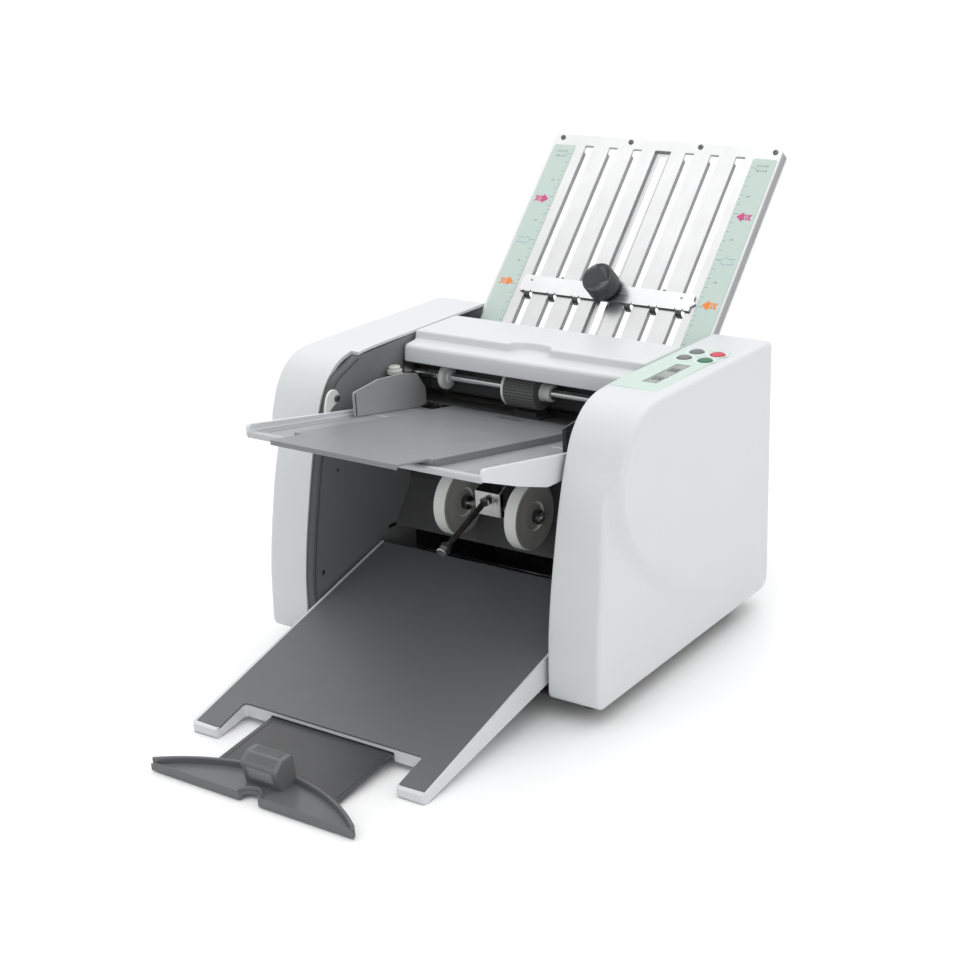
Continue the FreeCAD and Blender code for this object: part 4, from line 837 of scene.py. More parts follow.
def cover(side):
    sg = 1 if side == "right" else -1
    N, XI, CAV = 600, 121.9, 165.2
    B = resample(cover_outline(), N)
    R = edge_radius(B)
    nin = inward(B)
    cen = np.array([150.0, 112.0])
    rings = []

    def add(p, x):
        rings.append((p.copy(), np.broadcast_to(np.asarray(x, float), (N,)).copy()))
    add(B + nin * 3.0, CAV)
    add(B + nin * 3.0, XI + 0.5)
    add(B + nin * 2.6, XI)
    add(B + nin * 1.0, XI)
    add(B + nin * 0.3, XI + 0.28)
    add(B, XI + 1.0)
    D = flare(B)
    out = inward(B)
    full = B - out * D[:, None]
    xe = side_x(full)
    for k in (0.08, 0.18, 0.3, 0.42, 0.54, 0.66, 0.78, 0.9):
        add(B - out * (D * k ** 1.25)[:, None], XI + 1.0 + (xe - R - XI - 1.0) * k)
    for k in range(0, 9):
        ph = math.pi / 2 * k / 8
        q = full + out * (R * (1 - math.cos(ph)))[:, None]
        add(q, side_x(q) - R * (1 - math.sin(ph)))
    q0 = rings[-1][0]
    for t in np.r_[np.linspace(1, 0.42, 46)[1:], np.linspace(0.42, 0, 9)[1:-1]]:
        q = cen + (q0 - cen) * t
        add(q, side_x(q))
    vs, fs = [], []
    for p, x in rings:
        vs += [mm(sg * xx, yy, zz) for (yy, zz), xx in zip(p, x)]
    for k in range(len(rings) - 1):
        for i in range(N):
            j = (i + 1) % N
            fs.append((k * N + i, k * N + j, (k + 1) * N + j, (k + 1) * N + i))
    fs.append(tuple(range(N)))
    c = len(vs)
    vs.append(mm(sg * float(side_x(cen[None])[0]), *cen))
    L = (len(rings) - 1) * N
    fs += [(L + i, L + (i + 1) % N, c) for i in range(N)]
    ob = link("cover_" + side, vs, fs, M["white"], True, 40.0)
    if side == "left":
        cut = [box("cl", -130.1, -119.0, -10.0, 90.0, -10.0, 250.0, M["white"]), box("cl2", -125.3, -121.0, 6.0, 268.0, -2.0, 3.3, M["white"])]
    else:
        cut = [lathe("ch%d" % i, [(0, 6.62), (20, 6.62)], mm(bx, by, 222.0), (0, 0, 1), M["white"], 48) for i, (bx, by) in enumerate(BUTTONS)]
        cut += [box("chd", 142.6, 156.4, 122.6, 178.4, 222.0, 240.0, M["white"]), box("chs", 121.0, 125.3, 6.0, 268.0, -2.0, 3.3, M["white"])]
    boolean(ob, cut)
    ob.data.polygons.foreach_set("use_smooth", [True] * len(ob.data.polygons))
    ob.data.set_sharp_from_angle(angle=math.radians(40.0))
    return stand(ob, "side_cover_" + side)


cover("right")
cover("left")


# ------------------------------------------------------------------ delivery tray
def tray_top(y):
    return -7.7 + (y + 159.0) * math.tan(math.radians(14.1))


def tray_bot(y):
    return -16.3 + max(0.0, y + 154.0) * math.tan(math.radians(9.6))


def ext_bot(y):
    return -15.4 + (y + 205.0) * math.tan(math.radians(6.0))


def to_ext(u, v, w):
    """Extension plane: across, y, height above its underside."""
    return mm(u, v, ext_bot(v) + w)


def tray():
    T = 118.2
    plan = rounded([(-T, 96.0), (-T, -160.2), (-91.0, -160.2), (-91.0, -125.0), (91.0, -125.0), (91.0, -160.2), (T, -160.2), (T, 96.0)],
                   [0, 3.2, 2.6, 3.5, 3.5, 2.6, 3.2, 0], 6)
    plan = [p for i, p in enumerate(plan)]
    nose = lambda y: max(0.0, -158.4 - y) * 0.5
    body = prism("tray_body", plan, lambda u, v: tray_bot(v) + nose(v), lambda u, v: tray_top(v) - nose(v), to_xy, M["white2"], sharp=50)
    cut = [prism("c0", [(-156.6, tray_top(-156.6) - 2.2), (-156.6, 12.0), (97.0, 92.0), (97.0, tray_top(97) - 2.2)], -T + 2.2, T - 2.2, to_yz, M["white2"]),
           prism("c1", [(-150.0, -20.0), (-150.0, tray_top(-150) - 4.6), (-55.0, tray_top(-55) - 4.6), (-55.0, -20.0)], -63.0, 63.0, to_yz, M["white2"]),
           prism("c2", [(-60.0, tray_bot(-60) - 2.0), (-60.0, tray_top(-60) - 8.0), (97.0, tray_top(97) - 8.0), (97.0, tray_bot(97) - 2.0)], -T + 3.5, T - 3.5,
                 to_yz, M["white2"])]
    boolean(body, cut)
    bevel(body, 0.9, 3, 34.0)
    bits = [body]
    for i, (x0, x1) in enumerate(((-63.4, -56.0), (56.0, 63.4))):
        bits.append(prism("rail%d" % i, [(-124.0, ext_bot(-124) - 2.2), (-124.0, ext_bot(-124) - 0.35), (-60.0, ext_bot(-60) - 0.35), (-60.0, ext_bot(-60) - 2.2)],
                          x0, x1, to_yz, M["white2"], (), 0.4, 2))
    # stiffening ribs under the tray and the boss of each pivot
    for i, x in enumerate((-78.0, -26.0, 26.0, 78.0)):
        bits.append(prism("rib%d" % i, [(-56.0, tray_bot(-56) + 3.0), (-56.0, tray_top(-56) - 8.1), (94.0, tray_top(94) - 8.1), (94.0, tray_top(94) - 14.0)], x - 0.9, x + 0.9,
                          to_yz, M["white2"]))
    for s in (-1, 1):
        bits.append(lathe("pin%d" % s, turned([(0, 0), (0, 3.0), (8.0, 3.0), (8.0, 0)], 0.4), mm(s * 124.5 if s > 0 else -124.5, 86.0, 42.0), (-s, 0, 0), M["white2"], 28))
        bits.append(lathe("boss%d" % s, turned([(0, 0), (0, 6.0), (2.6, 5.4), (2.6, 0)], 0.3), mm(s * 118.1, 86.0, 42.0), (-s, 0, 0), M["white2"], 32))
    ob = join("tray", bits)
    stand(ob, "delivery_tray")

    lp = rounded([(-T + 2.4, 95.8), (-T + 2.4, -156.2), (-91.2, -156.2), (-91.2, -124.8), (91.2, -124.8), (91.2, -156.2), (T - 2.4, -156.2), (T - 2.4, 95.8)],
                 [0, 2.4, 0.6, 3.4, 3.4, 0.6, 2.4, 0], 5)
    # the liner: a plain sheet let into the tray, following its slope
    liner = prism("tray_liner", lp, lambda u, v: tray_top(v) - 2.2, lambda u, v: tray_top(v) - 0.5, to_xy, M["liner"], (), 0.35, 2)
    stand(liner, "tray_surface")


def extension():
    plan = rounded([(-62.4, -78.0), (-62.4, -195.4), (-52.6, -205.0), (52.6, -205.0), (62.4, -195.4), (62.4, -78.0)], [1.0, 3.0, 3.0, 3.0, 3.0, 1.0], 5)
    slot = rect(-14.0, 14.0, -99.0, -90.0, 4.4, 6)
    ob = prism("extension_sheet", plan, 0.0, 2.0, to_ext, M["ext"], [slot], 0.45, 3)
    rims = []
    for s in (-1, 1):
        rims.append(prism("er%d" % s, rect(s * 58.6 - 0.7, s * 58.6 + 0.7, -190.0, -84.0, 0.6, 3), 1.6, 2.3, to_ext, M["ext"], (), 0.25, 2))
    ob = join("extension_plate", [ob] + rims)
    stand(ob, "tray_extension")


def arc_pts(chord, y0, sag, xc, n=48, d=0.0):
    """Circular arc over a chord; d moves it inward."""
    R = (chord * chord + sag * sag) / (2 * sag)
    cy = y0 + sag - R
    a = math.asin(chord / R)
    return [(xc + (R - d) * math.sin(-a + 2 * a * i / n), cy + (R - d) * math.cos(-a + 2 * a * i / n)) for i in range(n + 1)]


def paper_stop():
    XS, Y0, SAG, C = 1.5, -224.6, 36.6, 102.0
    mat = M["stop"]
    outer = arc_pts(C, Y0, SAG, XS, 64)
    R = (C * C + SAG * SAG) / (2 * SAG)
    bite = [(XS + 9.5 * math.cos(t), -225.5 + 9.5 * math.sin(t)) for t in np.linspace(math.asin(0.9 / 9.5), math.pi - math.asin(0.9 / 9.5), 18)]
    plan = rounded(outer[::-1][:1], 0) if False else None
    # left tip -> arc -> right tip -> chord back with the finger notch
    loop = outer + [(C + XS - 0.6, Y0)] + [(XS + 9.5 + 1.6, Y0), (XS + 9.9, Y0 + 0.5)] + bite + [(XS - 9.9, Y0 + 0.5), (XS - 9.5 - 1.6, Y0)] + [(-C + XS + 0.6, Y0)]
    floor = prism("sf", loop, -15.6, -9.7, to_xy, mat, (), 0.5, 2, angle=50)
    cuts = [box("k0", XS - 70.0, XS + 70.0, -221.6, -180.0, -20.0, -12.9, mat),
            prism("k1", [(-221.2, ext_bot(-221.2) - 6.0), (-221.2, ext_bot(-221.2) + 2.35), (-180.0, ext_bot(-180) + 2.35), (-180.0, ext_bot(-180) - 6.0)], -63.2, 63.2, to_yz, mat)]
    boolean(floor, cuts)
    bits = [floor]
    mid = arc_pts(C - 1.6, Y0 + 1.2, SAG - 2.6, XS, 72)
    bits.append(wall_along("rim", mid, (-14.6, -4.4), 2.9, to_xy, mat, 1.35, 5))
    cut = box("k2", -63.2, 63.2, -230.0, -180.0, -20.0, -11.2, mat)
    boolean(bits[-1], [cut])
    # low lip along the front, running round the finger notch
    lip = [(-C + XS + 2.5, Y0 + 0.9), (XS - 13.5, Y0 + 0.9)] + [(XS + 11.2 * math.cos(t), -225.5 + 1.0 + 11.2 * math.sin(t)) for t in np.linspace(math.pi * 0.97, math.pi * 0.03, 22)] + \
          [(XS + 13.5, Y0 + 0.9), (C + XS - 2.5, Y0 + 0.9)]
    fine = []
    for a, b in zip(lip, lip[1:]):
        k = max(1, int(math.hypot(b[0] - a[0], b[1] - a[1]) / 6.0))
        fine += [(a[0] + (b[0] - a[0]) * i / k, a[1] + (b[1] - a[1]) * i / k) for i in range(k)]
    fine.append(lip[-1])
    bits.append(wall_along("lip", fine, (-10.4, -8.3), 1.7, to_xy, mat, 0.8, 3))
    notch = [(XS + 10.6 * math.cos(t), -225.5 + 0.6 + 10.6 * math.sin(t)) for t in np.linspace(math.pi * 0.96, math.pi * 0.04, 26)]
    bits.append(wall_along("nl", notch, (-10.4, -6.6), 1.8, to_xy, mat, 0.85, 3))
    # finger block
    side = rounded([(-206.6, -11.0), (-211.5, 8.6), (-203.0, 15.2), (-191.6, 15.2), (-189.6, -3.0), (-189.6, -11.0)], [0, 2.4, 2.6, 2.2, 1.0, 0], 5)
    blk = prism("blk", side, XS - 18.5, XS + 18.5, to_yz, mat, (), 1.3, 4, angle=40)
    apply_mods(blk)
    # pad on its front face and the textured grip on top
    ux, uz = (-206.6 + 211.5), (-11.0 - 8.6)
    L = math.hypot(ux, uz)
    ux, uz = ux / L, uz / L

    def face(u, v, w):
        return mm(XS + u, -211.5 + ux * v + uz * w, 8.6 + uz * v - ux * w)
    bits.append(blk)
    bits.append(prism("pad", rounded([(-12.5, 3.0), (12.5, 3.0), (12.5, 13.6), (-12.5, 13.6)], 1.6, 4), -0.4, 0.45, face, M["stop_pad"], (), 0.3, 2))
    gx, gz = 8.5, 6.6
    gl = math.hypot(gx, gz)
    gx, gz = gx / gl, gz / gl

    def slope(u, v, w):
        return mm(XS + u, -211.5 + gx * v - gz * w, 8.6 + gz * v + gx * w)
    for i in range(5):
        v = 2.6 + i * 1.45
        bits.append(prism("gr%d" % i, rounded([(-14.0, v), (14.0, v), (14.0, v + 0.7), (-14.0, v + 0.7)], 0.33, 3), -0.3, 0.35, slope, mat))
    for i in range(4):
        y = -201.0 + i * 2.1
        bits.append(prism("gt%d" % i, rounded([(-14.0 + XS, y), (14.0 + XS, y), (14.0 + XS, y + 0.8), (-14.0 + XS, y + 0.8)], 0.38, 3), 14.9, 15.55, to_xy, mat))
    ob = join("paper_stop_moulding", bits)
    stand(ob, "paper_stop")


tray()
extension()
paper_stop()


# ------------------------------------------------------------------ upper fold plate
SLOTS = [(-83.9, -74.4), (-57.2, -47.9), (-30.9, -21.7), (-7.2, 9.8), (24.9, 34.2), (51.2, 60.2), (77.4, 86.9)]


def upper_plate():
    hw, Lp, mat = 121.06, 245.0, M["plate"]
    out = rounded([(-hw, 0.0), (hw, 0.0), (hw, Lp), (-hw, Lp)], [3.5, 3.5, 1.0, 1.0], 6)
    holes = [rounded([(a, 11.0), (b, 11.0), (b, Lp - 11.0), (a, Lp - 11.0)], 1.0, 4) for a, b in SLOTS]
    bits = [prism("face", out, -2.0, 0.0, to_up, mat, holes, 0.28, 2)]
    # back sheet: wider openings, so that light comes through the slots
    wide = [rounded([(a - 7.4, 5.6), (b + 0.4, 5.6), (b + 0.4, Lp - 10.0), (a - 7.4, Lp - 10.0)], 2.0, 4) for a, b in SLOTS]
    bits.append(prism("back", rounded([(-hw, 0.0), (hw, 0.0), (hw, Lp), (-hw, Lp)], [3.5, 3.5, 1.0, 1.0], 6), -12.0, -9.8, to_up, M["plate_in"], wide, 0.3, 2))
    # side and top walls of the plate in a darker grey than its face: painted shade
    for s in (-1, 1):
        e0, e1 = (hw - 10.0, hw - 0.35) if s > 0 else (-hw + 0.35, -hw + 10.0)
        bits.append(prism("sb%d" % s, rect(e0, e1, 0.6, Lp - 0.3, 2.6, 4), -9.9, -1.9, to_up, M["plate_side_painted_shade"]))
    bits.append(prism("tr", rect(-hw + 9.0, hw - 9.0, 0.5, 5.2, 0.8, 3), -9.9, -1.9, to_up, M["plate_side_painted_shade"]))
    # channel with the narrow clamping slot under the wide middle opening
    bits.append(prism("rail", rect(-10.5, 13.0, 8.8, Lp - 8.8, 0.5, 2), -4.6, -3.2, to_up, mat, [rounded([(-2.4, 15.0), (5.0, 15.0), (5.0, Lp - 15.0), (-2.4, Lp - 15.0)], 1.5, 4)], 0.25, 2))
    # the channel's hems in the darker grey: painted shade
    for k, (u0, u1) in enumerate(((-8.4, -7.15), (9.75, 11.0))):
        bits.append(prism("rh%d" % k, rect(u0, u1, 9.4, Lp - 9.4, 0.2, 2), -3.3, -0.9, to_up, M["plate_hem_painted_shade"], (), 0.2, 2))
    bits.append(prism("rt", rect(-8.4, 11.0, 9.4, 11.05, 0.2, 2), -3.3, -0.9, to_up, M["plate_hem_painted_shade"], (), 0.2, 2))
    for k, u in enumerate((-4.6, 6.9)):
        bits.append(prism("rg%d" % k, rect(u - 0.5, u + 0.5, 14.0, Lp - 14.0, 0.4, 2), -3.4, -2.7, to_up, mat, (), 0.2, 2))
    for i, (a, b) in enumerate(SLOTS):
        if i == 3:
            continue
        bits.append(prism("ht%d" % i, rect(a - 0.8, b + 0.8, 9.7, 11.04, 0.2, 2), -3.8, -0.9, to_up, M["plate_hem_painted_shade"], (), 0.2, 2))
        # folded edges along each slot, ending short of its top, drawn darker than the face as painted shade
        for k, (e0, e1, dp) in enumerate(((a - 1.3, a + 0.05, -5.6), (b + 0.0, b + 1.3, -4.0))):
            hem = [(17.6, -1.9), (16.4, -1.0), (16.4, -0.9), (Lp - 16.4, -0.9), (Lp - 16.4, -1.0), (Lp - 17.6, dp), (17.6, dp)]
            bits.append(prism("hem%d%d" % (i, k), hem, e0, e1, lambda v, w, u: to_up(u, v, w), M["plate_hem_painted_shade"], (), 0.2, 2))
    ob = join("upper_plate_sheets", bits)
    stand(ob, "upper_fold_plate")

    film, ink, blue, mag, ora = M["mint"], M["ink"], M["ink_blue"], M["ink_mag"], M["ink_orange"]
    bits = []
    for s, (x0, x1) in ((-1, (-118.6, -94.6)), (1, (95.4, 119.4))):
        bits.append(prism("st%d" % s, rect(x0, x1, 12.0, 214.0, 1.6, 5), 0.0, 0.35, to_up, film, (), 0.12, 1))
        inner = x1 - 1.2 if s < 0 else x0 + 1.2
        for k in range(20):
            v = 22.0 + 9.6 * k
            ln = 6.0 if k % 5 == 0 else 3.2
            a, b = (inner - ln, inner) if s < 0 else (inner, inner + ln)
            bits.append(decal("tk", rect(a, b, v - 0.16, v + 0.16), to_up, 0.40, ink))
            if k < 19:
                a, b = (inner - 1.6, inner) if s < 0 else (inner, inner + 1.6)
                bits.append(decal("tm", rect(a, b, v + 4.8 - 0.12, v + 4.8 + 0.12), to_up, 0.40, ink))
        cx = (x0 + x1) / 2
        # generic folding scale: paper sizes in millimetres with their arrows
        for v, txt in ((19.4, "210 x 297"), (24.6, "148 x 210")):
            bits.append(lettering("n", txt, 3.0, lambda u, vv, w, c=cx, q=v: to_up(c + u, q - vv, w), 0, 0, 0.40, ink))
        for v, txt in ((52.0, "297"), (97.0, "210"), (141.0, "148")):
            bits.append(lettering("n", txt, 2.6, lambda u, vv, w, c=cx, q=v: to_up(c - s * 2.5 + u, q - vv, w), 0, 0, 0.40, ink))
        for v, m, kind in ((73.0, mag, "solid"), (119.0, blue, "outline"), (164.0, ora, "solid")):
            d = 1 if s < 0 else -1
            tip = cx + d * 6.6
            arrow = [(tip, v), (tip - d * 6.6, v - 5.2), (tip - d * 6.6, v - 2.9), (tip - d * 15.4, v - 2.9), (tip - d * 13.2, v), (tip - d * 15.4, v + 2.9), (tip - d * 6.6, v + 2.9), (tip - d * 6.6, v + 5.2)]
            if kind == "solid":
                bits.append(decal("ar", arrow, to_up, 0.40, m))
                for k in (9.0, 11.4):
                    bits.append(decal("as", [(tip - d * k, v - 2.4), (tip - d * (k + 0.8), v - 2.4), (tip - d * (k - 0.5), v), (tip - d * (k + 0.8), v + 2.4), (tip - d * k, v + 2.4), (tip - d * (k - 1.3), v)], to_up, 0.42, film))
            else:
                bits.append(ring_decal("ao", arrow, inset(arrow, 0.5), to_up, 0.40, m))
    ob = join("scale_films", bits)
    stand(ob, "scale_strips")

    n = Vector((0, -SIN_U, COS_U))
    sc = [screw_head("ps%d" % i, to_up(x, 4.0, 0.0), n, 2.6, 1.1, M["screw_dk"]) for i, x in enumerate((-112.4, -36.5, 38.0, 114.5))]
    ob = join("plate_screw_heads", sc)
    stand(ob, "plate_screws")

    S = 160.3
    top, low = 156.0, 172.8
    edge = [(-88.8, top), (92.4, top), (92.2, 161.6), (95.6, 164.9), (91.3, 168.0), (91.7, low)]
    for a, b in reversed([q for k, q in enumerate(SLOTS) if k != 3]):
        edge += [(a + 9.0, low), (a + 8.4, low - 1.5), (a + 7.4, low - 1.5), (a + 7.0, low), (a + 1.0, low), (a + 0.6, low - 1.2), (a - 0.2, low - 1.2), (a - 0.6, low)]
    edge += [(-88.8, low)]
    blade = rounded(edge, [1.6, 1.6, 0.5, 0.4, 0.5, 1.0] + [0.3] * (len(edge) - 7) + [1.2], 3)
    hs = [ring_pts(80.1, 161.0, 1.3, 16), ring_pts(-79.0, 161.0, 1.3, 16)]
    bits = [prism("bl", blade, 0.7, 2.5, to_up, M["bar"], hs, 0.3, 2)]
    for i, (a, b) in enumerate(SLOTS):
        if i == 3:
            bits.append(prism("u3", rect(-1.4, 3.8, S - 4.0, S + 4.0, 0.6, 2), -5.6, 1.0, to_up, M["bar"], (), 0.25, 2))
            bits.append(prism("u4", rect(-5.4, 8.0, S - 6.0, S + 6.0, 0.8, 2), -6.6, -4.9, to_up, M["bar"], (), 0.25, 2))
            continue
        # tooth bent down into the slot: the paper's edge stops against it; drawn dark grey though it is the blade's own
        # metal, as painted shade
        tooth = [(low - 1.3, 2.4), (174.2, 2.4), (176.2, 1.2), (177.4, -1.2), (177.6, -5.6), (176.2, -5.6), (175.9, -1.4), (174.9, 0.4), (173.6, 0.9), (low - 1.3, 0.9)]
        bits.append(prism("t%d" % i, rounded(tooth, 0.4, 2), a + 1.3, a + 6.8, lambda v, w, u: to_up(u, v, w), M["bar_tooth"], (), 0.2, 2))
    # front flange of the blade between the teeth, dark: painted shadow under the blade's lower edge
    stops = [-87.8] + [q for k, (a, b) in enumerate(SLOTS) if k != 3 for q in (a + 0.4, a + 7.6)] + [91.0]
    for u0, u1 in zip(stops[::2], stops[1::2]):
        bits.append(prism("ff", rect(u0, u1, low - 0.3, low + 0.3, 0.2, 2), 0.1, 2.1, to_up, M["bar_tooth"], (), 0.15, 1))
    bits.append(prism("bp", rounded([(-6.0, S - 4.2), (8.6, S - 4.2), (8.6, S + 7.4), (-6.0, S + 7.4)], 1.5, 4), 2.4, 3.4, to_up, M["bar"], (), 0.3, 2))
    bits.append(lathe("col", turned([(0, 0), (0, 7.0), (1.6, 6.4), (1.6, 0)], 0.3), to_up(1.3, S, 3.4), n, M["knob"], 40))
    for i, x in enumerate((-48.3, 59.8)):
        bits.append(lathe("bs%d" % i, turned([(0, 0), (0, 1.35), (2.1, 1.25), (2.1, 0)], 0.3), to_up(x, 155.2, 0.1), n, M["screw_dk"], 20))
    ob = join("upper_stop_blade", bits)
    stand(ob, "upper_stop_bar")

    rib = lambda t, a, r: r * (1.0 - 0.022 * (0.5 - 0.5 * math.cos(36 * t)) ** 0.7) if 1.2 < a < 15.6 and r > 13.5 else r
    # knob with a dished face
    dish = [(17.0 - 1.9 * (1 - (r / 13.4) ** 2), r) for r in (13.4, 12.0, 10.4, 8.6, 6.8, 5.0, 3.2, 1.6, 0.0)]
    side = turned([(0, 0), (0, 14.3), (1.0, 15.1), (15.9, 15.0), (17.0, 14.1), (17.0, 13.4)], [0, 0.4, 0.4, 0.8, 0.4, 0.0], 3)
    long = []
    for p, q in zip(side, side[1:]):
        k = 10 if abs(q[0] - p[0]) > 8 else 1
        long += [(p[0] + (q[0] - p[0]) * i / k, p[1] + (q[1] - p[1]) * i / k) for i in range(k)]
    kb = [lathe("kf", dish, to_up(1.3, S, 5.0), n, M["knob_face"], 96, 36), lathe("kh", long, to_up(1.3, S, 5.0), n, M["knob"], 216, 36, rib), lathe("ks", [(0, 0), (0, 2.7), (13.0, 2.7), (13.0, 0)], to_up(1.3, S, -7.6), n, M["rod"], 24)]
    ob = join("upper_knob_turned", kb)
    stand(ob, "upper_stop_knob")


def lower_plate():
    lw, Ll, mat = 115.0, 128.0, M["lowplate"]
    xs = (-80, -48, -16, 16, 48, 80)
    out = rounded([(-lw, 0.0), (lw, 0.0), (lw, Ll), (-lw, Ll)], [0.8, 0.8, 5.0, 5.0], 6)
    holes = [rect(x - 4.5, x + 4.5, 12.0, Ll - 12.0, 1.6, 4) for x in xs] + [rect(-4.0, 4.0, 40.0, Ll - 12.0, 1.6, 4)]
    bits = [prism("lf", out, 1.6, 4.0, to_low, mat, holes, 0.35, 2), prism("lb", out, -4.0, -1.6, to_low, mat, holes, 0.35, 2)]
    for s in (-1, 1):
        e0, e1 = (lw - 9.0, lw - 0.3) if s > 0 else (-lw + 0.3, -lw + 9.0)
        bits.append(prism("ls%d" % s, rect(e0, e1, 0.4, Ll - 4.0, 0.8, 3), -1.7, 1.7, to_low, mat))
    bits.append(prism("le", rect(-lw + 3.0, lw - 3.0, Ll - 8.0, Ll - 0.3, 0.8, 3), -1.7, 1.7, to_low, mat))
    n = Vector((0, SIN_L, COS_L))
    for x in (-108, -36, 36, 108):
        bits.append(screw_head("q", to_low(x, Ll - 4.5, 4.0), n, 2.2, 1.0, M["screw"]))
    stand(join("lower_plate_sheets", bits), "lower_fold_plate")

    S = 98.0
    bits = [prism("lbf", rounded([(-92, S - 6), (92, S - 6), (92, S + 6), (-92, S + 6)], 1.4, 4), 4.5, 6.3, to_low, M["bar"], (), 0.35, 2)]
    for x in xs:
        bits.append(prism("lt", rect(x - 3.6, x + 3.6, S - 2.0, S + 2.0, 0.5, 2), -3.4, 5.0, to_low, M["bar"], (), 0.25, 2))
    bits.append(prism("lw", ring_pts(0, S, 6.0, 32), 6.2, 6.9, to_low, M["bar"], (), 0.2, 1))
    stand(join("lower_stop_blade", bits), "lower_stop_bar")
    rib = lambda t, a, r: r * (1.0 - 0.025 * (0.5 - 0.5 * math.cos(30 * t)) ** 0.7) if 1.0 < a < 11.0 and r > 9.8 else r
    prof = turned([(0, 0), (0, 10.4), (0.9, 11.0), (11.2, 10.9), (12.0, 10.2), (12.0, 9.0), (11.4, 8.5), (11.4, 0)], [0, 0.3, 0.3, 0.6, 0.4, 0.3, 0.3, 0], 3)
    long = []
    for p, q in zip(prof, prof[1:]):
        k = 8 if abs(q[0] - p[0]) > 6 else 1
        long += [(p[0] + (q[0] - p[0]) * i / k, p[1] + (q[1] - p[1]) * i / k) for i in range(k)]
    long.append(prof[-1])
    kb = [lathe("lkh", long, to_low(0, S, 7.0), n, M["knob"], 180, 36, rib), lathe("lks", [(0, 0), (0, 2.9), (12.0, 2.9), (12.0, 0)], to_low(0, S, -3.0), n, M["rod"], 24)]
    stand(join("lower_knob_turned", kb), "lower_stop_knob")


upper_plate()
lower_plate()


# ------------------------------------------------------------------ lid
def lid():
    XE, RE = 119.4, 2.6
    xs = []
    for k in range(7):
        ph = math.pi / 2 * k / 6
        xs.append((XE - RE + RE * math.sin(ph), RE * (1 - math.cos(ph))))
    left = [(-x, d) for x, d in reversed(xs)]
    mid = [(x, 0.0) for x in np.r_[np.linspace(-115.5, -22, 14), np.linspace(-20, 28, 40), np.linspace(30, 115.5, 14)]]
    st = left + mid + xs

    def scoop(x):
        t = abs((x - 4.0) / 21.5)
        return 11.5 * (1 - min(1.0, t) ** 2.6) ** 0.62 if t < 1 else 0.0

    def section(x, d):
        ys = 165.4 + scoop(x)
        zf = 225.7 + (ys - 165.4) * 0.012
        pts = [(147.7, 209.0), (147.9, 216.5), (149.6, 224.6), (ys - 0.7, zf), (ys + 1.3, 233.25 - (ys - 165.4) * 0.03), (228.1, 231.2), (228.1, 218.5), (212.0, 215.5), (170.0, 212.0)]
        rr = [1.2, 0, 4.6, 2.2, 2.6, 4.0, 0.8, 0, 0]
        p = rounded(pts, rr, 7)
        return inset(p, d) if d > 1e-9 else p
    secs = [section(x, d) for x, d in st]
    n = len(secs[0])
    vs, fs = [], []
    for (x, d), p in zip(st, secs):
        vs += [mm(x, y, z) for y, z in p]
    for k in range(len(st) - 1):
        for i in range(n):
            fs.append((k * n + i, k * n + (i + 1) % n, (k + 1) * n + (i + 1) % n, (k + 1) * n + i))
    fs += [tuple(range(n))[::-1], tuple(range((len(st) - 1) * n, len(st) * n))]
    ob = link("lid_shell", vs, fs, M["white"], True, 46)
    inner = [(150.4, 200.0), (150.4, 216.5), (152.4, 222.2), (178.6, 223.0), (180.0, 230.0), (225.0, 229.2), (225.4, 200.0)]
    boolean(ob, [prism("li", rounded(inner, [0, 0, 2.4, 0.8, 2.0, 3.0, 0], 4), -116.8, 116.8, to_yz, M["white"])])
    ob.data.polygons.foreach_set("use_smooth", [True] * len(ob.data.polygons))
    ob.data.set_sharp_from_angle(angle=math.radians(42.0))
    bits = [ob]
    for s in (-1, 1):
        bits.append(lathe("lp%d" % s, turned([(0, 0), (0, 2.5), (5.0, 2.5), (5.0, 0)], 0.4), mm(s * 123.1, 222.5, 222.0), (-s, 0, 0), M["white"], 28))
        bits.append(box("lr%d" % s, min(s * 60, s * 61.6), max(s * 60, s * 61.6), 153.0, 224.0, 219.5, 223.4, M["white"], 0.3))
    for x in (-90.0, -30.0, 30.0, 90.0):
        bits.append(prism("rib%d" % x, [(181.0, 224.5), (181.0, 230.2), (224.6, 229.6), (224.6, 225.5)], x - 0.8, x + 0.8, to_yz, M["white"]))
    stand(join("lid", bits), "top_cover")


# ------------------------------------------------------------------ feed table, guides, lever
SCREW_Z = 204.4


def strip_z(y):
    return 205.1 - 0.2 * (y + 38.4)


def plate_z(y):
    return 224.2 - 0.198 * (y + 104.2)


